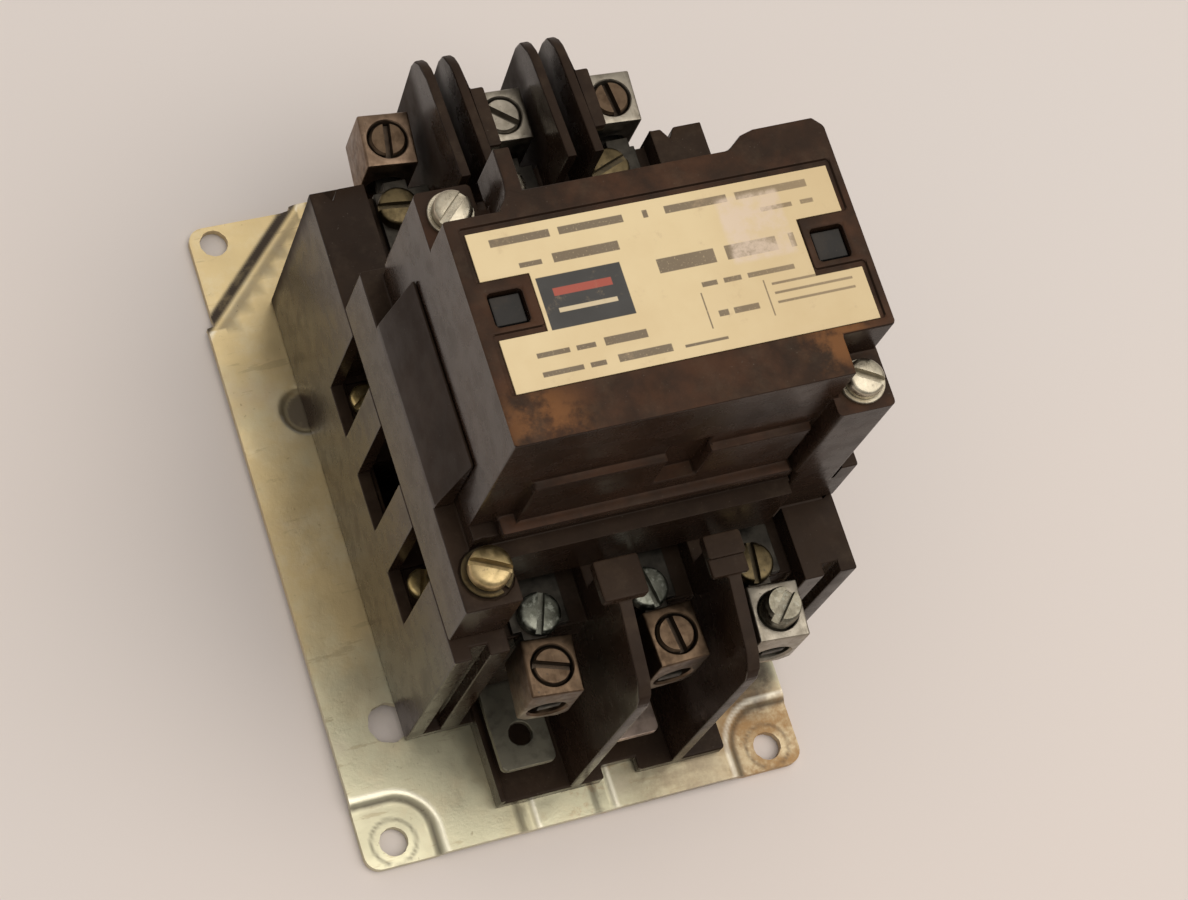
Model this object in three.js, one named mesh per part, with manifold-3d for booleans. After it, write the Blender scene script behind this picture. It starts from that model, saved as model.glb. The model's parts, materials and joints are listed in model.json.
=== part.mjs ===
// Industrial control relay: a three-pole magnetic contactor on a pressed steel mounting plate.
// Units are millimetres. +Z points out of the panel, +Y towards the line terminals, +X across the poles.
// The dimensions below are measured from the centre of the mounting plate, on the plane of its rear pads.
// The finished group is moved so that the frame's origin is the middle of the whole object's footprint.
import * as THREE from 'three';
import { mergeVertices } from 'three/addons/utils/BufferGeometryUtils.js';
import Module from 'manifold-3d';

const wasm = await Module();
wasm.setup();

// ---------------------------------------------------------------- driving dimensions
const PLATE = { width: 88.9, length: 133.7, sheet: 1.6, rise: 1.1, corner: 3 };
const PLATE_TRIM = { side: 1.5, end: 0.9 };
const PAD_STEP = { x: 22.9, y: 22.1 };
const PLATE_HOLE = { x: 38.2, y: 62.3, radius: 2.8 };
const PLATE_TOP = PLATE.sheet + PLATE.rise;
const CABLE_HOLE = { x: -32.9, y: -40.3, radius: 4 };

const BODY = { left: -30.85, right: 47.4, bottom: -44.5, top: 47.9, seam: 50.3, wall: 2.5 };
const PILLAR_WIDTH = 10.5;
const FLOOR_THICKNESS = 2.6;
const CONTACT_FLOOR = 25.4;
const HOUSING_SCREW_SEAT = CONTACT_FLOOR - 1.2;
const PIT_FLOOR = 7;
const CAVITY = { bottom: -30, top: 20.6 };
const STRAP_SEAT = 45;
const LOAD_BLOCK_FACE = -41;
const LINE_BLOCK_FACE = 47.1;
const WINDOW_SILL = 25.8;
const WINDOWS_Y = [[8.9, 19.3], [-10.1, 1.4], [-28.7, -18.3]];

const POLES_X = [-12.6, 8.2, 29];
const DIVIDERS_X = [-2.2, 18.6];
const DIVIDER_THICKNESS = 2.4;
const LOAD_FIN = { reach: -61.3, kink: 57, crest: 64.2 };
const LINE_FIN = { reach: 68, taper: 1.5, apexZ: 59, crest: 62.2, offset: 2.7, thickness: 1.9 };
const DIVIDER_CAP = { halfWidth: 4.2, inner: -36.5, outer: -44.1, thickness: 2.4 };
const CAP_CHIP = { front: 3.2, drop: 1.1, side: 2.9 };
const LOAD_TRAY = { left: -17.8, right: 28.4, edge: -61.3, rim: 1.2, rimHeight: 2 };
const LINE_TRAY = { left: -17.8, right: 34, edge: 67.4 };

const BASE = { top: 65.9, seat: 69.9, front: -32.5, back: 24.7, roof: 62, tab: 7.9 };
const CHEEK = { front: -20.9, back: 13.9, foot: 67.5, head: 84.5 };
const COVER = { left: -27.3, right: 43.8, front: -26.8, leftBack: 13.9, back: 17.1, top: 107.6 };
const LUG_TOP = 97;
const BOSS = { left: -14.9, right: -12, back: 25.2, relief: 7.1 };
const FRONT_LUG = { left: 34, right: 43.8, back: -19.6, front: -30.3, foot: 61 };
const LATCH = { left: 4.9, right: 12.7, bottom: 76.5, top: 90.5 };
const SKIRT = { left: -19.5, right: 31.8, front: -28.4, top: 87.5, rimFront: -30.3, rimTop: 72.6 };
const COVER_SKIN = 2.4;
const COVER_ROOF = 3;
const RECESS = { depth: 0.7, fit: 0.15, above: 1.1, beside: 0.9 };
const LABEL = { left: -24.2, right: 41.6, bottom: -18, top: 11, thickness: 0.4 };
const LABEL_NOTCH = { bottom: -8.3, top: 2.3, depth: 8.6 };

const MAGNET = { x: 8.4, y: -3, depth: 17, coreHalf: 20, leg: 5.5, yoke: 7, legTop: 88.4 };
const ARMATURE = { half: 24, bottom: 94, top: 101 };
const COIL = { halfX: 13.6, halfY: 13.4, flange: 1.5, bottom: 77.2, top: 87.6 };
const TRAVEL = 5.5;

const COLUMN = { offset: 29.2, halfX: 2.7, halfY: 2.6, top: 106.6 };
const BEAM = { halfY: 4.4, bottom: 41, top: 47 };
const BRIDGE = { bottom: 33.8, thickness: 1.8, halfX: 3.5, halfY: 12.5, tip: 1.2 };
const STIRRUP = { halfY: 2.6, halfX: 6.6, window: 4.2, webBottom: 30.4 };
const TIP = { halfX: 2.8, halfY: 2.4, offset: 9.6, height: 1.5 };

const STRAP = { thickness: 1.6, halfWidth: 5.4, tongueHalf: 2.3, tongueBottom: 41 };
const LOAD_SIDE = {
  sign: -1, screwY: -38.5, lugY: -49, stepY: 41, end: 54, screwShift: [0, 0, 0], lugShift: [-1.6, 1, 0.6],
};
const LINE_SIDE = {
  sign: 1, screwY: 43, lugY: 55.6, stepY: 47.4, end: 60.8,
  screwShift: [-1.9, -1.6, -1.4], lugShift: [-0.8, 0.8, 2.3],
};
const OVERLOAD_TAB = { bottom: 13.5, ends: [57.6, 57, 49], holeY: -51.2, holeRadius: 2.3 };
const TERMINAL_LUG = { halfX: 4.9, halfY: 5.35, height: 14, boreZ: 4.9, boreRadius: 3.5, top: 50.9 };
const LUG_SCREW = { radius: 3.6, length: 8 };

const CLEAR = 0.3;
const ROUND = 14;

// ---------------------------------------------------------------- solids from three.js geometry
function solid(geometry) {
  const bare = geometry.index ? geometry.toNonIndexed() : geometry.clone();
  bare.deleteAttribute('normal');
  bare.deleteAttribute('uv');
  const merged = mergeVertices(bare, 1e-4);
  const mesh = new wasm.Mesh({
    numProp: 3,
    vertProperties: new Float32Array(merged.attributes.position.array),
    triVerts: new Uint32Array(merged.index.array),
  });
  return new wasm.Manifold(mesh);
}

// Coplanar facets left by the joins and cuts merge here.
function geometryOf(body) {
  const mesh = body.asOriginal().simplify(1e-4).getMesh();
  const geometry = new THREE.BufferGeometry();
  geometry.setAttribute('position', new THREE.BufferAttribute(new Float32Array(mesh.vertProperties), 3));
  geometry.setIndex(new THREE.BufferAttribute(new Uint32Array(mesh.triVerts), 1));
  geometry.computeVertexNormals();
  return geometry;
}

function box(x0, x1, y0, y1, z0, z1) {
  const geometry = new THREE.BoxGeometry(x1 - x0, y1 - y0, z1 - z0);
  geometry.translate((x0 + x1) / 2, (y0 + y1) / 2, (z0 + z1) / 2);
  return solid(geometry);
}

function cylinder(x, y, z0, z1, radius, segments = ROUND) {
  const geometry = new THREE.CylinderGeometry(radius, radius, z1 - z0, segments);
  geometry.rotateX(Math.PI / 2);
  geometry.translate(x, y, (z0 + z1) / 2);
  return solid(geometry);
}

function shapeOf(points) {
  return new THREE.Shape(points.map(([a, b]) => new THREE.Vector2(a, b)));
}

// A flat outline in XY, raised from z0 to z1.
function slab(shape, z0, z1, curveSegments = 6) {
  const outline = Array.isArray(shape) ? shapeOf(shape) : shape;
  const geometry = new THREE.ExtrudeGeometry(outline, { depth: z1 - z0, bevelEnabled: false, curveSegments });
  geometry.translate(0, 0, z0);
  return solid(geometry);
}

// An outline of [y, z] points, extruded along X from x0 to x1.
function profile(shape, x0, x1, curveSegments = 6) {
  const outline = Array.isArray(shape) ? shapeOf(shape) : shape;
  const geometry = new THREE.ExtrudeGeometry(outline, { depth: x1 - x0, bevelEnabled: false, curveSegments });
  geometry.applyMatrix4(new THREE.Matrix4().set(0, 0, 1, x0, 1, 0, 0, 0, 0, 1, 0, 0, 0, 0, 0, 1));
  return solid(geometry);
}

function roundedRectangle(x0, x1, y0, y1, r) {
  const shape = new THREE.Shape();
  shape.moveTo(x0 + r, y0);
  shape.lineTo(x1 - r, y0);
  shape.absarc(x1 - r, y0 + r, r, -Math.PI / 2, 0);
  shape.lineTo(x1, y1 - r);
  shape.absarc(x1 - r, y1 - r, r, 0, Math.PI / 2);
  shape.lineTo(x0 + r, y1);
  shape.absarc(x0 + r, y1 - r, r, Math.PI / 2, Math.PI);
  shape.lineTo(x0, y0 + r);
  shape.absarc(x0 + r, y0 + r, r, Math.PI, Math.PI * 1.5);
  return shape;
}

// A turned solid standing on z = 0: profile points are [radius, z] and start and end on the axis.
function turned(points, segments = ROUND) {
  const geometry = new THREE.LatheGeometry(points.map(([r, z]) => new THREE.Vector2(r, z)), segments);
  geometry.rotateX(Math.PI / 2);
  return solid(geometry);
}

const join = (first, ...rest) => rest.reduce((sum, body) => sum.add(body), first);
const cut = (first, ...rest) => rest.reduce((sum, body) => sum.subtract(body), first);

// ---------------------------------------------------------------- materials and the scene graph
const group = new THREE.Group();

function finish(color, roughness, metalness) {
  return () => new THREE.MeshStandardMaterial({ color, roughness, metalness });
}

const platedSteel = finish(0xb9ad84, 0.42, 0.85);
const phenolic = finish(0x3a2b25, 0.55, 0);
const coverPhenolic = finish(0x4a3026, 0.55, 0);
const enamelLabel = finish(0xe3cf9c, 0.4, 0);
const zincScrew = finish(0xc4c2b8, 0.35, 0.9);
const brassScrew = finish(0xb08d4a, 0.35, 0.9);
const copperLug = finish(0x8a6f5c, 0.45, 0.85);
const tinnedLug = finish(0xb8b3a6, 0.4, 0.85);
const tinnedCopper = finish(0x9b978b, 0.45, 0.85);
const contactCopper = finish(0xa8683c, 0.4, 0.9);
const springSteel = finish(0x8d8f92, 0.35, 0.9);
const laminatedSteel = finish(0x55575a, 0.5, 0.8);
const coilResin = finish(0x6b2a22, 0.5, 0);
const carrierPhenolic = finish(0x2c2b2c, 0.6, 0);

function place(name, body, material, x = 0, y = 0, z = 0, turnDegrees = 0) {
  const mesh = new THREE.Mesh(geometryOf(body), material());
  mesh.name = name;
  mesh.position.set(x, y, z);
  mesh.rotation.z = THREE.MathUtils.degToRad(turnDegrees);
  group.add(mesh);
}

// ---------------------------------------------------------------- mounting plate
// The pressed sheet with its four rear pads; the top left corner is sheared a little smaller than the others.
function mountingPlate() {
  const halfX = PLATE.width / 2;
  const halfY = PLATE.length / 2;
  const outline = roundedRectangle(-halfX, halfX, -halfY, halfY, PLATE.corner);
  const trimmed = roundedRectangle(
    -halfX + PLATE_TRIM.side, halfX, -halfY, halfY - PLATE_TRIM.end, PLATE.corner,
  );
  const cornerMargin = cut(
    box(-halfX - 1, -halfX + PAD_STEP.x, halfY - PAD_STEP.y, halfY + 1, -1, PLATE_TOP + 1),
    slab(trimmed, -1, PLATE_TOP + 1, 3),
  );
  const blank = cut(slab(outline, 0, PLATE_TOP, 3), cornerMargin);
  const padX = 14.2;
  const padY = 12.6;
  const overlap = 1;
  const corner = (sx, sy, dx, dy) => {
    const x = sx * halfX;
    const y = sy * halfY;
    const bite = Math.min(dx, dy) * 0.45;
    const points = [[x + sx, y + sy], [x - sx * dx, y + sy], [x - sx * dx, y - sy * (dy - bite)]];
    points.push([x - sx * (dx - bite), y - sy * dy], [x + sx, y - sy * dy]);
    return sx * sy > 0 ? points : points.reverse();
  };
  const wedge = (grow) => [
    [-halfX - 1, halfY - PAD_STEP.y - grow],
    [-halfX + PAD_STEP.x + grow, halfY + 1],
    [-halfX - 1, halfY + 1],
  ];
  const above = (outlinePoints) => slab(outlinePoints, PLATE.sheet, PLATE_TOP + 1);
  const raised = cut(
    blank,
    box(-halfX - 1, halfX + 1, -halfY - 1, halfY + 1, -1, PLATE.rise),
    above(corner(-1, -1, padX, padY)),
    above(corner(1, -1, padX, padY)),
    above(corner(1, 1, padX, padY)),
    above(wedge(0)),
  );
  const pads = [
    corner(-1, -1, padX + overlap, padY + overlap),
    corner(1, -1, padX + overlap, padY + overlap),
    corner(1, 1, padX + overlap, padY + overlap),
    wedge(overlap),
  ].map((points) => slab(points, 0, PLATE.sheet).intersect(blank));
  const holes = [[-1, -1], [1, -1], [1, 1], [-1, 1]].map(([sx, sy]) => (
    cylinder(sx * PLATE_HOLE.x, sy * PLATE_HOLE.y, -1, 4, PLATE_HOLE.radius)
  ));
  const screwHoles = HOUSING_SCREWS.map(([x, y]) => cylinder(x, y, -1, 4, 2.3, 12));
  const cableHole = cylinder(CABLE_HOLE.x, CABLE_HOLE.y, -1, 4, CABLE_HOLE.radius);
  return cut(join(raised, ...pads), ...holes, ...screwHoles, cableHole);
}

// ---------------------------------------------------------------- contact housing
const HOUSING_SCREWS = [[-25, 15.8], [-25, -21.8], [41.6, 15.8], [41.6, -21.8]];
const BASE_SCREWS = [[-25.2, -34.2], [41.4, 26.4]];

// A barrier at the load end with a square cap over its root.
// The chipped cap has lost its front edge and a side.
function loadFin(x, chipped) {
  const half = DIVIDER_THICKNESS / 2;
  const floor = PLATE_TOP;
  const { reach, kink, crest } = LOAD_FIN;
  const outline = [
    [reach, floor], [CAVITY.bottom, floor], [CAVITY.bottom, BODY.seam], [DIVIDER_CAP.inner, BODY.seam],
    [DIVIDER_CAP.inner, BASE.top], [DIVIDER_CAP.outer, BASE.top], [DIVIDER_CAP.outer, crest],
    [reach + 3.4, kink + 3.4], [reach + 0.9, kink + 1.2], [reach, kink - 1.4],
  ];
  const cap = box(
    x - DIVIDER_CAP.halfWidth, x + DIVIDER_CAP.halfWidth, DIVIDER_CAP.outer, DIVIDER_CAP.inner,
    BASE.top - DIVIDER_CAP.thickness, BASE.top,
  );
  const fin = join(profile(outline, x - half, x + half), cap);
  if (!chipped) return fin;
  const side = x + DIVIDER_CAP.halfWidth + 1;
  return cut(
    fin,
    box(x - DIVIDER_CAP.halfWidth - 1, side, DIVIDER_CAP.outer - 1, DIVIDER_CAP.outer + CAP_CHIP.front,
      BASE.top - CAP_CHIP.drop, BASE.top + 1),
    box(x + CAP_CHIP.side, side, DIVIDER_CAP.outer - 1, DIVIDER_CAP.inner + 1,
      BASE.top - DIVIDER_CAP.thickness - 1, BASE.top + 1),
  );
}

function lineFins(x) {
  const half = LINE_FIN.thickness / 2;
  const { reach, taper, apexZ, crest, offset } = LINE_FIN;
  const inner = CAVITY.top + 20;
  const outline = [
    [reach - 2 * taper, PLATE_TOP], [reach - taper, apexZ - 25], [reach, apexZ - 5],
    [reach - 0.5, apexZ - 2.2], [reach - 2, apexZ - 0.4], [reach - 4, apexZ + 0.8],
    [reach - 6.2, apexZ + 1.4], [inner, crest], [inner, STRAP_SEAT + 4],
    [CAVITY.top, STRAP_SEAT + 4], [CAVITY.top, PLATE_TOP],
  ];
  const fin = (centre) => profile(outline, centre - half, centre + half);
  const ledge = box(x + offset, x + offset + 3.6, 46.2, 58.4, 58.1, 60.5);
  return join(fin(x - offset), fin(x + offset), ledge);
}

function contactHousing() {
  const bayLeft = BODY.left + PILLAR_WIDTH;
  const bayRight = BODY.right - PILLAR_WIDTH;
  const innerLeft = BODY.left + BODY.wall;
  const innerRight = BODY.right - BODY.wall;
  const over = BODY.seam + 1;
  const trayTop = PLATE_TOP + FLOOR_THICKNESS;
  const shell = cut(
    box(BODY.left, BODY.right, BODY.bottom, BODY.top, PLATE_TOP, BODY.seam),
    box(innerLeft, innerRight, CAVITY.bottom, CAVITY.top, CONTACT_FLOOR, over),
    box(bayLeft, bayRight, BODY.bottom - 1, CAVITY.bottom + 1, STRAP_SEAT, over),
    box(bayLeft, bayRight, CAVITY.top - 1, BODY.top + 1, STRAP_SEAT, over),
    box(bayLeft, bayRight, BODY.bottom - 1, LOAD_BLOCK_FACE, trayTop, over),
    box(bayLeft, bayRight, LINE_BLOCK_FACE, BODY.top + 1, trayTop, over),
    box(innerLeft + 1, innerRight - 1, MAGNET.y - 6, MAGNET.y + 6, PIT_FLOOR, over),
  );
  const walls = DIVIDERS_X.map((x) => (
    box(x - DIVIDER_THICKNESS / 2, x + DIVIDER_THICKNESS / 2, CAVITY.bottom, CAVITY.top, PLATE_TOP, BODY.seam)
  ));
  const loadTray = join(
    box(LOAD_TRAY.left, LOAD_TRAY.right, LOAD_TRAY.edge, LOAD_BLOCK_FACE, PLATE_TOP, trayTop),
    box(
      LOAD_TRAY.left, LOAD_TRAY.left + LOAD_TRAY.rim, LOAD_TRAY.edge, LOAD_BLOCK_FACE,
      PLATE_TOP, trayTop + LOAD_TRAY.rimHeight,
    ),
  );
  const trayNotch = box(3.6, 10.7, LOAD_TRAY.edge - 1, LOAD_TRAY.edge + 2.6, PLATE_TOP - 1, trayTop + 1);
  const lineTray = box(LINE_TRAY.left, LINE_TRAY.right, LINE_BLOCK_FACE, LINE_TRAY.edge, PLATE_TOP, trayTop);
  const moulding = join(
    shell, ...walls, cut(loadTray, trayNotch), lineTray,
    ...DIVIDERS_X.map((x, i) => loadFin(x, i === 1)), ...DIVIDERS_X.map(lineFins),
  );
  const sideWindows = WINDOWS_Y.flatMap(([y0, y1]) => [
    box(BODY.left - 1, innerLeft + 0.5, y0, y1, WINDOW_SILL, over),
    box(innerRight - 0.5, BODY.right + 1, y0, y1, WINDOW_SILL, over),
  ]);
  const beamSlot = box(
    innerLeft + 1, innerRight - 1, MAGNET.y - 5.4, MAGNET.y + 5.4, BEAM.bottom - TRAVEL - 1.5, over,
  );
  const screwPockets = HOUSING_SCREWS.flatMap(([x, y]) => [
    box(x - 3.3, x + 3.3, y - 3.6, y + 3.6, HOUSING_SCREW_SEAT, CONTACT_FLOOR + 1),
    cylinder(x, y, 0, CONTACT_FLOOR, 2.3, 12),
  ]);
  const strapScrewHoles = [LOAD_SIDE, LINE_SIDE].flatMap(({ screwY, screwShift }) => POLES_X.map((x, i) => (
    cylinder(x + screwShift[i], screwY, STRAP_SEAT - 8, STRAP_SEAT + 1, 2.2, 12)
  )));
  const slotHalf = STRAP.halfWidth + CLEAR;
  const overloadSlots = POLES_X.flatMap((x) => [
    box(
      x - slotHalf, x + slotHalf, LOAD_BLOCK_FACE - 1, CAVITY.bottom + 2.3,
      OVERLOAD_TAB.bottom - CLEAR, OVERLOAD_TAB.bottom + STRAP.thickness + CLEAR,
    ),
    box(
      x - slotHalf, x + slotHalf, CAVITY.bottom, CAVITY.bottom + 2.3,
      OVERLOAD_TAB.bottom - CLEAR, CONTACT_FLOOR + 1,
    ),
  ]);
  const baseScrewHoles = BASE_SCREWS.map(([x, y]) => cylinder(x, y, 37, over, 2.3, 12));
  const notchHalf = 1.9;
  const notchDepth = 2.2;
  const endNotches = [BODY.left + 4, BODY.right - 7].map((x) => slab(
    [[x + notchHalf, BODY.top + 1], [x, BODY.top - notchDepth], [x - notchHalf, BODY.top + 1]],
    trayTop, over,
  ));
  const slotHalfWidth = 1.55;
  const endSlots = [BODY.left + 5, BODY.right - 5].map((x) => (
    box(x - slotHalfWidth, x + slotHalfWidth, BODY.bottom - 1, BODY.bottom + notchDepth, trayTop, over)
  ));
  return cut(
    moulding, ...sideWindows, beamSlot, ...screwPockets, ...strapScrewHoles,
    ...overloadSlots, ...baseScrewHoles, ...endNotches, ...endSlots,
  );
}

// ---------------------------------------------------------------- crossbar housing and cover
// A sloping side rib that rises from the housing's edge at x = outer to the cover's wall at x = inner.
function cheek(outer, inner) {
  const lean = Math.sign(outer - inner);
  const outline = [
    [outer, BASE.top - 1], [outer, CHEEK.foot], [inner + lean * 0.4, CHEEK.head], [inner, CHEEK.head],
    [inner, BASE.top - 1],
  ];
  const geometry = new THREE.ExtrudeGeometry(
    shapeOf(lean > 0 ? outline.reverse() : outline), { depth: CHEEK.back - CHEEK.front, bevelEnabled: false },
  );
  geometry.rotateX(Math.PI / 2);
  geometry.translate(0, CHEEK.back, 0);
  return solid(geometry);
}

function crossbarHousing() {
  const { left, right, seam } = BODY;
  const tabLeft = left + PILLAR_WIDTH;
  const tabRight = right - PILLAR_WIDTH;
  const outline = [
    [left, BASE.front - BASE.tab], [tabLeft, BASE.front - BASE.tab], [tabLeft, BASE.front],
    [FRONT_LUG.left - 0.6, BASE.front], [FRONT_LUG.left - 0.6, FRONT_LUG.front + 0.3],
    [right, FRONT_LUG.front + 0.3], [right, BASE.back + BASE.tab], [tabRight, BASE.back + BASE.tab],
    [tabRight, BASE.back], [left, BASE.back],
  ];
  const tier = box(
    COVER.left + 0.4, COVER.right - 0.4, BASE.front + 3.2, BASE.back - 1.2, BASE.top - 1, BASE.seat,
  );
  const cheeks = [cheek(left, COVER.left - 0.2), cheek(right, COVER.right + 0.2)];
  const wall = 2.6;
  const cavity = box(left + wall, right - wall, BASE.front + wall, BASE.back - wall, seam - 1, BASE.roof);
  const columnHoles = [-1, 1].map((side) => {
    const x = MAGNET.x + side * COLUMN.offset;
    const halfX = COLUMN.halfX + 0.4;
    const halfY = COLUMN.halfY + 0.4;
    return box(x - halfX, x + halfX, MAGNET.y - halfY, MAGNET.y + halfY, seam - 1, BASE.seat + 1);
  });
  const screwHoles = BASE_SCREWS.map(([x, y]) => cylinder(x, y, seam - 1, BASE.top + 1, 2.3, 12));
  const washerSeats = BASE_SCREWS.map(([x, y]) => cylinder(x, y, BASE.top - 0.4, BASE.seat + 1, 5.1));
  const coverScrewHoles = COVER_SCREWS.map(([x, y]) => cylinder(x, y, BASE.roof - 5, BASE.seat + 1, 2.1, 12));
  const bosses = COVER_SCREWS.map(([x, y]) => {
    const reach = y > 0 ? [y - 4, BASE.back - 0.5] : [FRONT_LUG.front + 0.5, FRONT_LUG.back + 1.5];
    return box(x - 5, x + 5.5, reach[0], reach[1], BASE.roof - 6, BASE.roof + 1);
  });
  const lugPocket = box(
    FRONT_LUG.left - CLEAR, FRONT_LUG.right + CLEAR, BASE.front - 1, FRONT_LUG.back + CLEAR,
    FRONT_LUG.foot, BASE.seat + 1,
  );
  const body = join(cut(join(slab(outline, seam, BASE.top), tier), cavity), ...bosses, ...cheeks);
  return cut(body, ...columnHoles, ...screwHoles, ...washerSeats, ...coverScrewHoles, lugPocket);
}

const COVER_SCREWS = [[-22, 19.3], [38.9, -25.2]];

function magnetCover() {
  const { left, right, front, leftBack, back, top } = COVER;
  const lugRight = -17;
  const cutLeft = FRONT_LUG.left;
  const cutBack = FRONT_LUG.back;
  const upper = [
    [left, front], [cutLeft, front], [cutLeft, cutBack], [right, cutBack], [right, 18.4], [42.1, 20.2],
    [31.1, 20.1], [28.5, 19.4], [25.5, back], [BOSS.right, back], [BOSS.right, BOSS.back],
    [BOSS.left, BOSS.back], [BOSS.left, COVER_SCREWS[0][1]], [lugRight, COVER_SCREWS[0][1]],
    [lugRight, leftBack], [left, leftBack],
  ];
  const seat = BASE.seat;
  const tabUnderside = LUG_TOP - 2;
  const bossRelief = cut(
    cylinder(...COVER_SCREWS[0], LUG_TOP, top + 1, BOSS.relief, 24),
    box(left - 9, BOSS.right, 0, leftBack, seat, top + 2),
  );
  const underBoss = box(BOSS.left - 1, BOSS.right + 0.1, back, 26, seat - 1, tabUnderside);
  const outer = join(
    cut(slab(upper, seat, top), bossRelief, underBoss),
    slab(roundedRectangle(left, lugRight, leftBack - 1, 24.3, 1), seat, LUG_TOP, 2),
    slab(roundedRectangle(cutLeft - 1, right, FRONT_LUG.front, cutBack + 1, 1), seat, LUG_TOP, 2),
    slab(roundedRectangle(cutLeft, right, FRONT_LUG.front, cutBack, 1), FRONT_LUG.foot, seat + 1, 2),
    box(SKIRT.left, SKIRT.right, SKIRT.front, front + 1, seat, SKIRT.top),
    box(SKIRT.left - 3, SKIRT.right, SKIRT.rimFront, front + 1, seat, SKIRT.rimTop),
  );
  const roof = top - COVER_ROOF;
  const cavity = join(
    box(left + COVER_SKIN, cutLeft - COVER_SKIN, front + COVER_SKIN, leftBack - COVER_SKIN, seat - 1, roof),
    box(left + COVER_SKIN, right - COVER_SKIN, cutBack + COVER_SKIN, leftBack - COVER_SKIN, seat - 1, roof),
    box(-12 - COVER_SKIN, right - COVER_SKIN, cutBack + COVER_SKIN, back - COVER_SKIN, seat - 1, roof),
  );
  const windows = [-1, 1].map((side) => {
    const x = MAGNET.x + side * COLUMN.offset;
    return box(x - 3.1, x + 3.1, MAGNET.y - 3.1, MAGNET.y + 3.1, roof - 1, top + 1);
  });
  const labelRecess = slab(labelOutline(RECESS), top - RECESS.depth, top + 1);
  const screwHoles = COVER_SCREWS.map(([x, y]) => cylinder(x, y, FRONT_LUG.foot - 1, LUG_TOP + 1, 2.1, 12));
  const headReliefs = COVER_SCREWS.map(([x, y]) => cylinder(x, y, LUG_TOP, top + 1, 5));
  const latchNotch = box(
    LATCH.left, LATCH.right, SKIRT.front - 1, COVER.front + 1.2, LATCH.bottom, LATCH.top,
  );
  const terminalSlots = COIL_TABS_X.map((x) => box(x - 3.6, x + 3.6, 12, 21, 78.6, 80.4));
  return cut(
    outer, cavity, ...windows, labelRecess, ...screwHoles, ...headReliefs, latchNotch, ...terminalSlots,
  );
}

// The label's outline; the recess it lies in has a small fit gap and wider gaps beside and above it.
function labelOutline({ fit, above, beside }) {
  const left = LABEL.left - beside;
  const right = LABEL.right + beside;
  const bottom = LABEL.bottom - fit;
  const top = LABEL.top + above;
  const notchLeft = LABEL.left + LABEL_NOTCH.depth - fit;
  const notchRight = LABEL.right - LABEL_NOTCH.depth + fit;
  const notchBottom = LABEL_NOTCH.bottom + above;
  const notchTop = LABEL_NOTCH.top - fit;
  return [
    [left, bottom], [right, bottom], [right, notchBottom], [notchRight, notchBottom], [notchRight, notchTop],
    [right, notchTop], [right, top], [left, top], [left, notchTop], [notchLeft, notchTop],
    [notchLeft, notchBottom], [left, notchBottom],
  ];
}

// ---------------------------------------------------------------- magnet, coil and moving carrier
function magnetCore() {
  const { x, y, depth, coreHalf, leg, yoke, legTop } = MAGNET;
  const y0 = y - depth / 2;
  const y1 = y + depth / 2;
  return join(
    box(x - coreHalf, x + coreHalf, y0, y1, BASE.seat, BASE.seat + yoke),
    box(x - coreHalf, x - coreHalf + leg, y0, y1, BASE.seat, legTop),
    box(x + coreHalf - leg, x + coreHalf, y0, y1, BASE.seat, legTop),
    box(x - leg, x + leg, y0, y1, BASE.seat, legTop),
  );
}

function coilBody() {
  const { x, y, depth, leg } = MAGNET;
  const { halfX, halfY, flange, bottom, top } = COIL;
  const ring = (inset, z0, z1) => slab(
    roundedRectangle(x - halfX + inset, x + halfX - inset, y - halfY + inset, y + halfY - inset, 3 - inset),
    z0, z1, 4,
  );
  const terminalBlock = box(x - 12.4, x + 12.4, y + halfY - 1, y + halfY + 1.2, bottom, bottom + 5.6);
  const body = join(
    ring(0, bottom, bottom + flange), ring(1, bottom, top), ring(0, top - flange, top), terminalBlock,
  );
  const clear = CLEAR;
  const bore = box(
    x - leg - clear, x + leg + clear, y - depth / 2 - clear, y + depth / 2 + clear, bottom - 1, top + 1,
  );
  return cut(body, bore);
}

const COIL_TABS_X = [MAGNET.x - 8, MAGNET.x + 8];

function coilTab(x) {
  const inner = MAGNET.y + COIL.halfY + 1.2;
  const tip = 24.5;
  const outline = [
    [x - 3.1, inner], [x + 3.1, inner], [x + 3.1, tip - 1.6],
    [x + 1.9, tip], [x - 1.9, tip], [x - 3.1, tip - 1.6],
  ];
  const blade = slab(outline, 79, 80);
  return cut(blade, cylinder(x, tip - 4, 78, 81, 0.9, 8));
}

function armature() {
  const { x, y, depth } = MAGNET;
  const { half, bottom, top } = ARMATURE;
  return box(x - half, x + half, y - depth / 2, y + depth / 2, bottom, top);
}

function armatureClip() {
  const x = MAGNET.x;
  const inner = COLUMN.offset - COLUMN.halfX;
  const half = inner + 1.2;
  return box(x - half, x + half, MAGNET.y - 1.9, MAGNET.y + 1.9, ARMATURE.top, ARMATURE.top + 0.9);
}

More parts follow.
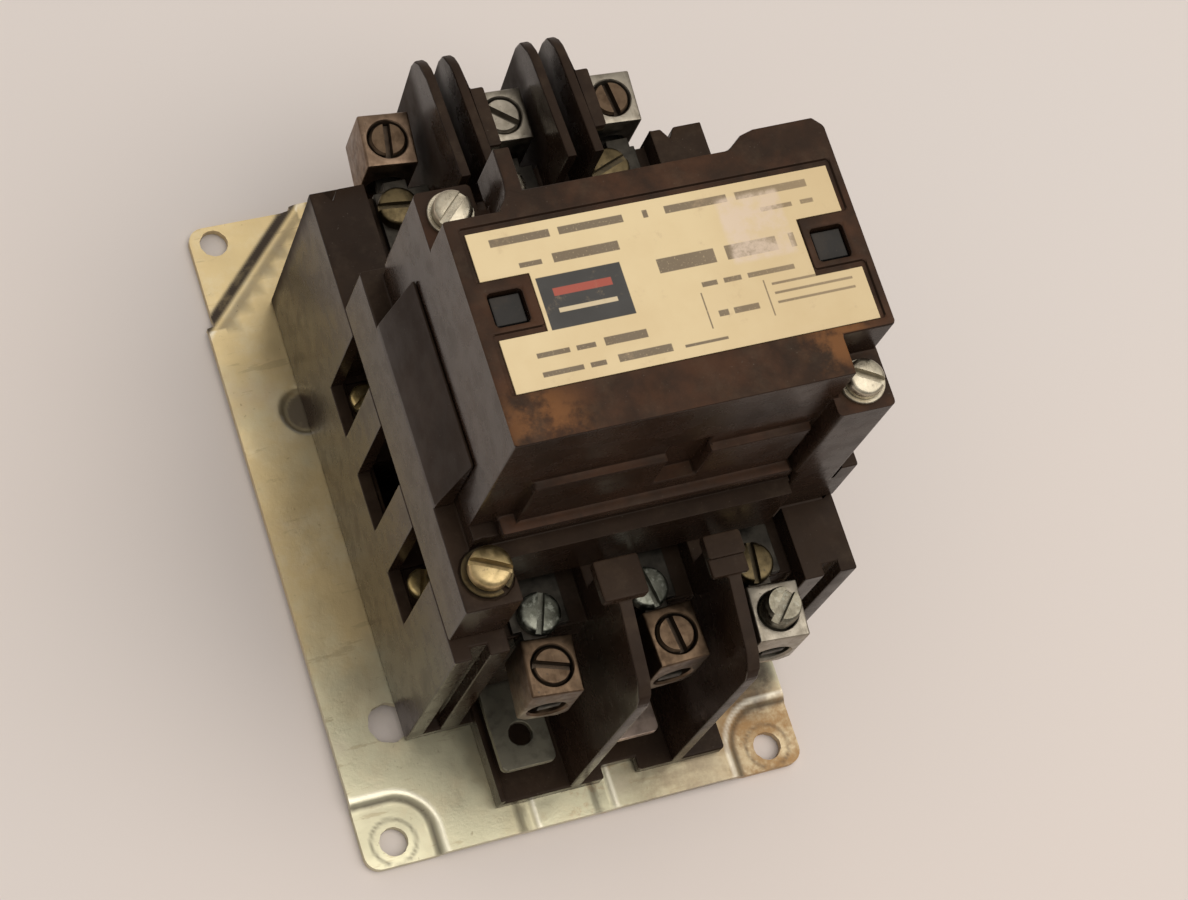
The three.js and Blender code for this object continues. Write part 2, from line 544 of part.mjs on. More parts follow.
function crossbar() {
  const y = MAGNET.y;
  const columns = [-1, 1].flatMap((side) => {
    const x = MAGNET.x + side * COLUMN.offset;
    const armInner = MAGNET.x + side * (MAGNET.coreHalf + 1.2);
    const armX = [armInner, x].sort((a, b) => a - b);
    const stopInner = MAGNET.x + side * ARMATURE.half;
    const stopX = [stopInner, x].sort((a, b) => a - b);
    return [
      box(x - COLUMN.halfX, x + COLUMN.halfX, y - COLUMN.halfY, y + COLUMN.halfY, BEAM.bottom, COLUMN.top),
      box(armX[0], armX[1], y - COLUMN.halfY, y + COLUMN.halfY, ARMATURE.bottom - 3, ARMATURE.bottom),
      box(stopX[0], stopX[1], y - COLUMN.halfY, y + COLUMN.halfY, ARMATURE.bottom - 1, ARMATURE.top),
    ];
  });
  const beamEnd = COLUMN.offset + COLUMN.halfX;
  const beam = box(
    MAGNET.x - beamEnd, MAGNET.x + beamEnd, y - BEAM.halfY, y + BEAM.halfY, BEAM.bottom, BEAM.top,
  );
  const { halfX, halfY, webBottom } = STIRRUP;
  const stirrups = POLES_X.map((x) => cut(
    box(x - halfX, x + halfX, y - halfY, y + halfY, webBottom, BEAM.top),
    box(x - STIRRUP.window, x + STIRRUP.window, y - 5, y + 5, BRIDGE.bottom, BEAM.bottom),
  ));
  const clipSlot = COLUMN.offset - COLUMN.halfX + 1.5;
  const slots = box(
    MAGNET.x - clipSlot, MAGNET.x + clipSlot, y - 2.2, y + 2.2, ARMATURE.top, ARMATURE.top + 1.1,
  );
  return cut(join(beam, ...columns, ...stirrups), slots);
}

function contactBridge(x) {
  const y = MAGNET.y;
  const { bottom, thickness, halfX, halfY, tip } = BRIDGE;
  const bar = slab(
    roundedRectangle(x - halfX, x + halfX, y - halfY, y + halfY, 1.6), bottom, bottom + thickness, 3,
  );
  const tips = [-1, 1].map((side) => {
    const centre = y + side * TIP.offset;
    return box(
      x - TIP.halfX, x + TIP.halfX, centre - TIP.halfY, centre + TIP.halfY, bottom - tip, bottom + 0.1,
    );
  });
  return join(bar, ...tips);
}

class Helix extends THREE.Curve {
  constructor(radius, bottom, top, turns) {
    super();
    Object.assign(this, { radius, bottom, top, turns });
  }

  getPoint(t, target = new THREE.Vector3()) {
    const angle = t * this.turns * Math.PI * 2;
    const z = THREE.MathUtils.lerp(this.bottom, this.top, t);
    return target.set(this.radius * Math.cos(angle), this.radius * Math.sin(angle), z);
  }
}

function coilSpring(radius, wire, z0, z1, turns) {
  const corners = [0, 1, 2, 3, 4].map((k) => k * Math.PI * 0.4);
  const section = shapeOf(corners.map((angle) => [wire * Math.cos(angle), wire * Math.sin(angle)]));
  const path = new Helix(radius, z0 + wire, z1 - wire, turns);
  const options = { steps: turns * 8, bevelEnabled: false, extrudePath: path };
  return solid(new THREE.ExtrudeGeometry(section, options));
}

// ---------------------------------------------------------------- straps, lugs and screws
// Profile in [distance from the magnet's centre plane towards the terminal, z].
function terminalStrap(pole, side) {
  const x = POLES_X[pole];
  const tongueX = x + side.lugShift[pole];
  const t = STRAP.thickness;
  const { sign, stepY, end } = side;
  const load = sign < 0;
  const flip = (points) => {
    const placed = points.map(([d, z]) => [sign * d, z]);
    return load ? placed.reverse() : placed;
  };
  const inner = Math.abs(MAGNET.y + sign * (TIP.offset - TIP.halfY));
  const riser = load ? -CAVITY.bottom - 2 : CAVITY.top - 2;
  const seat = STRAP_SEAT;
  const body = profile(flip([
    [inner, CONTACT_FLOOR], [riser + t, CONTACT_FLOOR], [riser + t, seat], [stepY + t, seat],
    [stepY + t, seat + t], [riser, seat + t], [riser, CONTACT_FLOOR + t], [inner, CONTACT_FLOOR + t],
  ]), x - STRAP.halfWidth, x + STRAP.halfWidth);
  const [y0, y1] = [sign * (stepY - 0.3), sign * (end + 1)].sort((a, b) => a - b);
  const shoulders = [
    box(x - STRAP.halfWidth - 1, tongueX - STRAP.tongueHalf, y0, y1, seat - 1, seat + t + 1),
    box(tongueX + STRAP.tongueHalf, x + STRAP.halfWidth + 1, y0, y1, seat - 1, seat + t + 1),
  ];
  const tongue = profile(flip([
    [stepY, STRAP.tongueBottom], [end, STRAP.tongueBottom], [end, STRAP.tongueBottom + t],
    [stepY + t, STRAP.tongueBottom + t], [stepY + t, seat + t], [stepY, seat + t],
  ]), tongueX - STRAP.tongueHalf, tongueX + STRAP.tongueHalf);
  const tipY = MAGNET.y + sign * TIP.offset;
  const tip = box(
    x - TIP.halfX, x + TIP.halfX, tipY - TIP.halfY, tipY + TIP.halfY,
    CONTACT_FLOOR + t - 0.1, CONTACT_FLOOR + t + TIP.height,
  );
  const pieces = [cut(body, ...shoulders), tongue, tip];
  if (load) {
    const low = OVERLOAD_TAB.bottom;
    pieces.push(box(
      x - STRAP.halfWidth, x + STRAP.halfWidth, -riser - t, -riser, low, CONTACT_FLOOR + t,
    ));
    pieces.push(slab(
      roundedRectangle(x - STRAP.halfWidth, x + STRAP.halfWidth, -OVERLOAD_TAB.ends[pole], -riser, 1.2),
      low, low + t, 3,
    ));
  }
  const holes = [cylinder(x + side.screwShift[pole], side.screwY, seat - 2, seat + 4, 2.3, 12)];
  if (load && OVERLOAD_TAB.ends[pole] > 55) {
    const { bottom, holeY, holeRadius } = OVERLOAD_TAB;
    holes.push(cylinder(x, holeY, bottom - 1, bottom + STRAP.thickness + 1, holeRadius, 12));
  }
  return cut(join(...pieces), ...holes);
}

// A box lug standing on z = 0, its round wire opening running along Y.
function boxLug() {
  const { halfX, halfY, height, boreZ, boreRadius } = TERMINAL_LUG;
  const outline = [
    [-halfX, 1.4], [-halfX + 1.4, 0], [halfX - 1.4, 0], [halfX, 1.4], [halfX, height], [-halfX, height],
  ];
  const geometry = new THREE.ExtrudeGeometry(shapeOf(outline), { depth: 2 * halfY, bevelEnabled: false });
  geometry.rotateX(Math.PI / 2);
  geometry.translate(0, halfY, 0);
  const bore = new THREE.CylinderGeometry(boreRadius, boreRadius, 2 * halfY + 2, 20);
  bore.translate(0, 0, boreZ);
  return cut(
    solid(geometry),
    solid(bore),
    cylinder(0, 0, boreZ, height + 1, LUG_SCREW.radius + CLEAR),
  );
}

function slot(width, depth, top, reach) {
  return box(-reach, reach, -width / 2, width / 2, top - depth, top + 1);
}

// A headless clamp screw standing on z = 0.
function clampScrew() {
  const { radius, length } = LUG_SCREW;
  const bevel = 0.5;
  const blank = turned(
    [[0, 0], [radius, 0], [radius, length - bevel], [radius - bevel, length], [0, length]],
  );
  return cut(blank, slot(1.1, 1.6, length, radius + 1));
}

// A cheese or pan head screw whose head rests on z = 0.
function headedScrew(headRadius, headHeight, shankRadius, length, slotWidth = 1.2) {
  const bevel = headHeight * 0.3;
  const blank = turned([
    [0, -length], [shankRadius, -length], [shankRadius, 0], [headRadius, 0],
    [headRadius, headHeight - bevel], [headRadius - bevel, headHeight], [0, headHeight],
  ], 12);
  return cut(blank, slot(slotWidth, headHeight * 0.5, headHeight, headRadius + 1));
}

// A washer resting on z = 0; a lock washer has a gap cut through its ring.
function washer(outer, inner, thickness, gap) {
  const ring = cut(cylinder(0, 0, 0, thickness, outer), cylinder(0, 0, -1, thickness + 1, inner));
  return gap > 0 ? cut(ring, box(0, outer + 1, -gap / 2, gap / 2, -1, thickness + 1)) : ring;
}

// ---------------------------------------------------------------- the assembly
place('mounting_plate', mountingPlate(), platedSteel);
place('contact_housing', contactHousing(), phenolic);
place('crossbar_housing', crossbarHousing(), phenolic);
place('magnet_cover', magnetCover(), coverPhenolic);
const labelBottom = COVER.top - RECESS.depth;
const labelShape = labelOutline({ fit: 0, above: 0, beside: 0 });
place('nameplate', slab(labelShape, labelBottom, labelBottom + LABEL.thickness), enamelLabel);

place('magnet_core', magnetCore(), laminatedSteel);
place('coil', coilBody(), coilResin);
COIL_TABS_X.forEach((x, i) => place(`coil_terminal_${i + 1}`, coilTab(x), tinnedCopper));

place('crossbar', crossbar(), carrierPhenolic);
place('armature', armature(), laminatedSteel);
place('armature_clip', armatureClip(), springSteel);
[-1, 1].forEach((side, i) => {
  const spring = coilSpring(2.1, 0.42, BASE.seat, ARMATURE.bottom - 3, 6);
  const x = MAGNET.x + side * (MAGNET.coreHalf + 3.6);
  place(`return_spring_${i + 1}`, spring, springSteel, x, MAGNET.y);
});

POLES_X.forEach((x, i) => {
  const pole = i + 1;
  place(`contact_bridge_${pole}`, contactBridge(x), contactCopper);
  const springFoot = BRIDGE.bottom + BRIDGE.thickness;
  place(`contact_spring_${pole}`, coilSpring(2.4, 0.4, springFoot, BEAM.bottom, 4), springSteel, x, MAGNET.y);
  place(`line_strap_${pole}`, terminalStrap(i, LINE_SIDE), tinnedCopper);
  place(`load_strap_${pole}`, terminalStrap(i, LOAD_SIDE), tinnedCopper);
});

// Each lug stands at its own height and angle, as its clamp screw leaves it.
const LINE_LUGS = [
  { lift: 0, turn: -5, screwUp: 0, slotTurn: 80, lug: copperLug, screw: copperLug },
  { lift: 1.2, turn: -2, screwUp: 0, slotTurn: 140, lug: tinnedLug, screw: tinnedLug },
  { lift: 0.2, turn: -3, screwUp: 0, slotTurn: 96, lug: tinnedLug, screw: tinnedLug },
];
const LOAD_LUGS = [
  { lift: 0, turn: -5, screwUp: 0, slotTurn: -18, lug: copperLug, screw: copperLug },
  { lift: 1.4, turn: 2, screwUp: 0, slotTurn: 97, lug: copperLug, screw: copperLug },
  { lift: 0, turn: -4, screwUp: 4, slotTurn: 48, lug: tinnedLug, screw: zincScrew },
];
[['line', LINE_LUGS, LINE_SIDE], ['load', LOAD_LUGS, LOAD_SIDE]].forEach(([name, lugs, side]) => {
  lugs.forEach((item, i) => {
    const top = TERMINAL_LUG.top + item.lift;
    const x = POLES_X[i] + side.lugShift[i];
    place(`${name}_lug_${i + 1}`, boxLug(), item.lug, x, side.lugY, top - TERMINAL_LUG.height, item.turn);
    const screwFoot = top - LUG_SCREW.length + item.screwUp;
    place(`${name}_lug_screw_${i + 1}`, clampScrew(), item.screw, x, side.lugY, screwFoot, item.slotTurn);
  });
});

const STRAP_SCREW_FINISH = {
  line: [brassScrew, zincScrew, brassScrew],
  load: [zincScrew, zincScrew, brassScrew],
};
[['line', LINE_SIDE, [-7, 60, 20]], ['load', LOAD_SIDE, [70, 100, 84]]].forEach(([name, side, turns]) => {
  POLES_X.forEach((x, i) => {
    const screw = headedScrew(3.9, 2.6, 1.9, 7.4);
    const seat = STRAP_SEAT + STRAP.thickness;
    const finishHere = STRAP_SCREW_FINISH[name][i];
    const screwX = x + side.screwShift[i];
    place(`${name}_strap_screw_${i + 1}`, screw, finishHere, screwX, side.screwY, seat, turns[i]);
  });
});

COVER_SCREWS.forEach(([x, y], i) => {
  const seat = LUG_TOP;
  place(`cover_washer_${i + 1}`, washer(4.1, 2.3, 0.8, 0), zincScrew, x, y, seat);
  place(`cover_screw_${i + 1}`, headedScrew(3.4, 2.7, 1.8, 39), zincScrew, x, y, seat + 0.8, i ? 150 : 42);
});
BASE_SCREWS.forEach(([x, y], i) => {
  const seat = BASE.top - 0.4;
  place(`base_lock_washer_${i + 1}`, washer(4.7, 2.3, 1.1, 1), brassScrew, x, y, seat, -60);
  place(`base_screw_${i + 1}`, headedScrew(3.9, 3.9, 1.9, 26), brassScrew, x, y, seat + 1.1, i ? 60 : -25);
});
HOUSING_SCREWS.forEach(([x, y], i) => {
  const screw = headedScrew(2.9, 2.2, 1.9, HOUSING_SCREW_SEAT - PLATE.rise);
  place(`housing_screw_${i + 1}`, screw, brassScrew, x, y, HOUSING_SCREW_SEAT, 35 * (i + 1));
});

// The housing's right side and the line fins reach past the plate.
// The footprint's middle is therefore off the plate's.
const overhangX = BODY.right - PLATE.width / 2;
const overhangY = LINE_FIN.reach - PLATE.length / 2;
group.position.set(-overhangX / 2, -overhangY / 2, 0);

export default group;
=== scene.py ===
"""Looks of the industrial control relay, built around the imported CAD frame.

Lengths are in millimetres. Places on the object are measured from the centre of its mounting plate.
"""

import json
import math

import bmesh
import bpy
from mathutils import Matrix, Vector
from mathutils.geometry import delaunay_2d_cdt


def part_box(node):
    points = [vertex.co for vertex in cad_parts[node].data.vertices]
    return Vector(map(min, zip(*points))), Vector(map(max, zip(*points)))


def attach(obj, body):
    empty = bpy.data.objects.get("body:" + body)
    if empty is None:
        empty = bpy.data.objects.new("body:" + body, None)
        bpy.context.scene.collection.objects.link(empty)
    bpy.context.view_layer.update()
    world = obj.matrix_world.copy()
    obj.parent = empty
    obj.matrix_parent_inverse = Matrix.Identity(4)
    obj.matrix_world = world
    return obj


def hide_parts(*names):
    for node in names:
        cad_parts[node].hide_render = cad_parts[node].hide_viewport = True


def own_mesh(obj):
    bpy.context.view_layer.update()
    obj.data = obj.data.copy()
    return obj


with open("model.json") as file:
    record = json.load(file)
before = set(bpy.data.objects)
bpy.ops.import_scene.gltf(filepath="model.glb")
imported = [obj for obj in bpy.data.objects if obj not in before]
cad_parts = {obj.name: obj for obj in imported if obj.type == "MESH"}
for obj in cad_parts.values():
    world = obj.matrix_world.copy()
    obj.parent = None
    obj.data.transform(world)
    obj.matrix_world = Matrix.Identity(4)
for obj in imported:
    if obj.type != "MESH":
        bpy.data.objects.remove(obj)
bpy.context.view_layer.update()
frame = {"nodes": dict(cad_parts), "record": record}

MM = 0.001
ROUND = 40                      # sides of a turned surface
PLATE_LOW, PLATE_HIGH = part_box("mounting_plate")
MIDDLE = Vector(((PLATE_LOW.x + PLATE_HIGH.x) / 2, (PLATE_LOW.y + PLATE_HIGH.y) / 2, 0))
BASE, CARRIER = "base", "contact_carrier"
POLES = (1, 2, 3)


# ---------------------------------------------------------------- materials
class Finish:
    """Writes one procedural material. Positions are in metres, so a noise scale of 1000 has 1 mm grains."""

    def __init__(self, name):
        self.material = bpy.data.materials.new(name)
        self.material.use_nodes = True
        self.tree = self.material.node_tree
        self.shader = self.tree.nodes["Principled BSDF"]
        offset = self.add("ShaderNodeVectorMath", operation="SUBTRACT")
        self.feed(offset.inputs[0], self.add("ShaderNodeTexCoord").outputs["Object"])
        offset.inputs[1].default_value = MIDDLE
        self.position = offset.outputs["Vector"]
        self.normal = self.add("ShaderNodeNewGeometry").outputs["Normal"]

    def add(self, kind, **settings):
        node = self.tree.nodes.new(kind)
        for key, value in settings.items():
            setattr(node, key, value)
        return node

    def feed(self, socket, value):
        if isinstance(value, bpy.types.NodeSocket):
            self.tree.links.new(value, socket)
        elif isinstance(value, tuple) and len(value) == 3 and socket.type == "RGBA":
            socket.default_value = (*value, 1)
        else:
            socket.default_value = value

    def noise(self, scale, detail=4, roughness=0.55, stretch=None):
        node = self.add("ShaderNodeTexNoise")
        where = self.position
        if stretch:
            mapping = self.add("ShaderNodeMapping")
            mapping.inputs["Scale"].default_value = stretch
            self.feed(mapping.inputs["Vector"], where)
            where = mapping.outputs["Vector"]
        self.feed(node.inputs["Vector"], where)
        node.inputs["Scale"].default_value = scale
        node.inputs["Detail"].default_value = detail
        node.inputs["Roughness"].default_value = roughness
        return node.outputs["Fac"]

    def attribute(self, name):
        return self.add("ShaderNodeAttribute", attribute_name=name).outputs["Fac"]

    def math(self, operation, a, b=0.0):
        node = self.add("ShaderNodeMath", operation=operation)
        self.feed(node.inputs[0], a)
        self.feed(node.inputs[1], b)
        return node.outputs[0]

    def ramp(self, value, low, high, to_low=0.0, to_high=1.0):
        node = self.add("ShaderNodeMapRange", interpolation_type="SMOOTHSTEP")
        self.feed(node.inputs["Value"], value)
        for key, number in (("From Min", low), ("From Max", high), ("To Min", to_low), ("To Max", to_high)):
            node.inputs[key].default_value = number
        return node.outputs["Result"]

    def mix(self, share, a, b):
        node = self.add("ShaderNodeMix", data_type="RGBA")
        self.feed(node.inputs["Factor"], share)
        self.feed(node.inputs[6], a)
        self.feed(node.inputs[7], b)
        return node.outputs[2]

    def axis(self, letter, source=None):
        node = self.add("ShaderNodeSeparateXYZ")
        self.feed(node.inputs[0], source or self.position)
        return node.outputs[letter]

    def near(self, x, y, z, inner, outer):
        """1 within inner mm of a point, falling to 0 at outer mm."""
        node = self.add("ShaderNodeVectorMath", operation="DISTANCE")
        self.feed(node.inputs[0], self.position)
        node.inputs[1].default_value = (x * MM, y * MM, z * MM)
        return self.ramp(node.outputs["Value"], inner * MM, outer * MM, 1.0, 0.0)

    def inside(self, x0, x1, y0, y1, soft=0.06):
        """1 inside a rectangle of the XY plane, in mm."""
        masks = []
        for letter, low, high in (("X", x0, x1), ("Y", y0, y1)):
            offset = self.math("SUBTRACT", self.axis(letter), (low + high) / 2 * MM)
            distance = self.math("ABSOLUTE", offset)
            half = (high - low) / 2
            masks.append(self.ramp(distance, (half - soft) * MM, (half + soft) * MM, 1.0, 0.0))
        return self.math("MULTIPLY", *masks)

    def corner_shade(self, reach, low=0.35, high=0.8):
        """Painted shade: 1 deep in corners, where ambient light is blocked, 0 on open faces."""
        node = self.add("ShaderNodeAmbientOcclusion", samples=4)
        node.inputs["Distance"].default_value = reach * MM
        return self.ramp(node.outputs["AO"], low, high, 1.0, 0.0)

    def bump(self, height, depth_mm, strength=1.0):
        node = self.add("ShaderNodeBump")
        node.inputs["Strength"].default_value = strength
        node.inputs["Distance"].default_value = depth_mm * MM
        self.feed(node.inputs["Height"], height)
        self.feed(self.shader.inputs["Normal"], node.outputs["Normal"])

    def finish(self, colour, roughness, metallic=0.0, **others):
        self.feed(self.shader.inputs["Base Color"], colour)
        self.feed(self.shader.inputs["Roughness"], roughness)
        self.feed(self.shader.inputs["Metallic"], metallic)
        for key, value in others.items():
            self.feed(self.shader.inputs[key.replace("_", " ")], value)
        return self.material


def moulding(name, base, warm, worn, weather=None):
    """Dark thermoset: glossy sides, dull dusty tops, edges rubbed pale, soot low on the line barriers."""
    f = Finish(name)
    colour = f.mix(f.ramp(f.noise(60, 6), 0.36, 0.70), base, warm)
    colour = f.mix(f.ramp(f.noise(420, 5), 0.55, 0.8, 0.0, 0.4), colour, tuple(c * 0.6 for c in base))
    tilt = f.axis("Z", f.normal)
    up = f.ramp(tilt, 0.5, 0.95)
    sloped = f.math("MULTIPLY", f.ramp(tilt, 0.10, 0.17), f.ramp(tilt, 0.5, 0.8, 1.0, 0.0))
    if weather:
        colour = weather(f, colour, up)
    dust = f.math("MULTIPLY", up, f.ramp(f.noise(150, 6, 0.7), 0.45, 0.78, 0.04, 0.26))
    colour = f.mix(dust, colour, (0.12, 0.086, 0.056))
    rubbed = f.math("MULTIPLY", f.attribute("wear"), f.ramp(f.noise(260, 5, 0.7), 0.42, 0.62, 0.05, 0.6))
    colour = f.mix(rubbed, colour, worn)
    speck = f.ramp(f.noise(2400, 2), 0.71, 0.77, 0.0, 0.3)
    colour = f.mix(speck, colour, (0.20, 0.17, 0.14))
    f.bump(f.math("ADD", f.noise(1100, 4), f.math("MULTIPLY", f.noise(120, 3), 1.5)), 0.035, 0.5)
    rough = f.ramp(f.noise(230, 5), 0.3, 0.75, 0.20, 0.34)
    rough = f.math("ADD", rough, f.math("MULTIPLY", up, 0.20))
    rough = f.math("ADD", rough, f.math("MULTIPLY", sloped, 0.35))
    toward_load = f.ramp(f.axis("Y", f.normal), -0.9, -0.5, 1.0, 0.0)
    sooty = f.math("MULTIPLY", f.ramp(f.axis("Y"), 0.044, 0.048), f.ramp(f.axis("Z"), 0.050, 0.056, 1.0, 0.0))
    rough = f.math("ADD", rough, f.math("MULTIPLY", sooty, 0.35))
    dull = f.math("MAXIMUM", f.math("MAXIMUM", up, sloped), f.math("MAXIMUM", toward_load, sooty))
    left = f.ramp(f.axis("X", f.normal), -0.9, -0.5, 0.40, 0.30)
    gloss = f.math("SUBTRACT", left, f.math("MULTIPLY", dull, 0.21))
    return f.finish(colour, rough, IOR=1.50, Specular_IOR_Level=gloss)


def cover_weather(f, colour, up):
    """Reddish fading on the top frame, orange along its left and front edges."""
    patch = f.ramp(f.noise(70, 6, 0.65), 0.38, 0.66)
    colour = f.mix(f.math("MULTIPLY", up, f.math("MULTIPLY", patch, 0.6)), colour, (0.085, 0.036, 0.018))
    edge = f.math("MULTIPLY", f.attribute("wear"), f.near(-27, -4, 107, 8, 26))
    stain = f.math("MAXIMUM", f.near(-21, -24, 107, 2, 11), f.near(33, -20, 107, 2, 10))
    stain = f.math("MULTIPLY", up, stain)
    orange = f.math("MAXIMUM", edge, stain)
    orange = f.math("MULTIPLY", orange, f.ramp(f.noise(120, 6, 0.7), 0.40, 0.60, 0.0, 0.85))
    return f.mix(orange, colour, (0.20, 0.085, 0.030))


def bare_metal(name, base, dark, shade_and_dirt, roughness=(0.22, 0.45), worn=None, corner_shade_strength=0.8, chalk=0.0):
    """A plated or bare metal with blotches, scratches, painted shade in its corners, dark spots of dirt and a
    chalky bloom.
    """
    f = Finish(name)
    colour = f.mix(f.ramp(f.noise(420, 6, 0.65), 0.40, 0.66), base, dark)
    scratch = f.ramp(f.noise(900, 4, 0.7, (1, 0.12, 1)), 0.56, 0.64)
    colour = f.mix(f.math("MULTIPLY", scratch, 0.3), colour, tuple(min(1, c * 1.35) for c in base))
    if worn:
        colour = f.mix(f.math("MULTIPLY", f.attribute("wear"), 0.55), colour, worn)
    bloom = f.ramp(f.noise(800, 6, 0.7), 0.52, 0.66, 0.0, chalk)
    colour = f.mix(bloom, colour, (0.52, 0.55, 0.47))
    # Painted shade deep in corners, with real dark spots of dirt added next; both take the same dark colour.
    darkening = f.math("MULTIPLY", f.corner_shade(1.6), corner_shade_strength)
    spots = f.ramp(f.noise(1300, 4, 0.7), 0.62, 0.7, 0.0, 0.65)
    darkening = f.math("MAXIMUM", darkening, spots)
    colour = f.mix(darkening, colour, shade_and_dirt)
    dull = f.math("MAXIMUM", darkening, bloom)
    rough = f.ramp(f.noise(600, 5), 0.3, 0.7, *roughness)
    rough = f.math("MAXIMUM", rough, f.math("MULTIPLY", dull, 0.7))
    metallic = f.math("SUBTRACT", 1.0, f.math("MULTIPLY", dull, 0.75))
    f.bump(f.noise(1500, 5, 0.7), 0.03, 0.5)
    return f.finish(colour, rough, metallic)


def plated_sheet():
    """Yellow passivated zinc: straw and grey-green blotches, painted shade and dirt along the steps with a
    painted highlight beside them, rust at one corner, a painted dark reflection near it.
    """
    f = Finish("plated_sheet")
    straw, green = (0.60, 0.475, 0.26), (0.62, 0.59, 0.42)
    toward_front = f.ramp(f.axis("Y"), -0.065, 0.02, 0.30, -0.06)
    blotch = f.math("ADD", f.noise(24, 5, 0.6), toward_front)
    colour = f.mix(f.ramp(blotch, 0.50, 0.72), straw, green)
    colour = f.mix(f.ramp(f.noise(75, 6, 0.7), 0.46, 0.68, 0.0, 0.6), colour, (0.64, 0.56, 0.38))
    colour = f.mix(f.ramp(f.noise(60, 5), 0.60, 0.76, 0.0, 0.25), colour, (0.48, 0.36, 0.32))
    scratch = f.ramp(f.noise(420, 4, 0.7, (0.16, 1, 1)), 0.60, 0.66, 0.0, 0.4)
    colour = f.mix(scratch, colour, (0.36, 0.28, 0.16))
    spots = f.ramp(f.noise(700, 5, 0.75), 0.63, 0.70, 0.0, 0.5)
    colour = f.mix(spots, colour, (0.22, 0.16, 0.09))
    # Painted shade along the pressed steps, inside the dimple and on one wall of each channel, with some real
    # dirt in the rings round the front holes.
    shade_and_dirt = f.math("MULTIPLY", f.attribute("shade_and_dirt"), f.ramp(f.noise(300, 5), 0.2, 0.5, 0.7, 1.0))
    rust = f.math("MAXIMUM", f.near(38, -61, 1, 8, 15), f.math("MULTIPLY", f.near(24, -63, 1, 1, 12), 0.6))
    rust = f.math("MULTIPLY", rust, f.ramp(f.noise(150, 7, 0.75), 0.34, 0.60, 0.45, 0.95))
    streak = f.math("MULTIPLY", f.near(3, -66, 1, 2, 16), f.ramp(f.noise(260, 6, 0.75), 0.52, 0.66, 0.0, 0.6))
    colour = f.mix(f.math("MAXIMUM", rust, streak), colour, (0.42, 0.235, 0.085))
    tarnish = f.ramp(f.noise(180, 6, 0.7), 0.30, 0.60, 0.5, 0.9)
    colour = f.mix(f.math("MULTIPLY", f.near(19, -65, 1, 5, 17), tarnish), colour, (0.26, 0.21, 0.14))
    # Painted dark reflection of the housing on the plate, beside the right-hand front pad.
    painted_dark_reflection = f.math("MULTIPLY", f.near(37, -48, 1, 5, 10), f.ramp(f.noise(130, 6, 0.7), 0.30, 0.55, 0.6, 0.95))
    colour = f.mix(painted_dark_reflection, colour, (0.050, 0.034, 0.020))
    colour = f.mix(shade_and_dirt, colour, (0.045, 0.030, 0.018))
    # Painted highlight: a pale line beside the pressed steps, along one wall of each channel and on the
    # dimple's near rim.
    colour = f.mix(f.math("MULTIPLY", f.attribute("painted_highlight"), 0.7), colour, (0.92, 0.88, 0.76))
    cover = f.math("MAXIMUM", f.math("MAXIMUM", rust, streak), f.math("MAXIMUM", painted_dark_reflection, shade_and_dirt))
    metallic = f.math("SUBTRACT", 0.88, f.math("MULTIPLY", cover, 0.8))
    rough = f.math("MAXIMUM", f.ramp(f.noise(110, 6), 0.3, 0.7, 0.28, 0.42), f.math("MULTIPLY", cover, 0.68))
    height = f.math("ADD", f.math("MULTIPLY", f.noise(38, 3), 3.0), f.noise(900, 4, 0.7))
    f.bump(height, 0.05, 0.55)
    return f.finish(colour, rough, metallic)


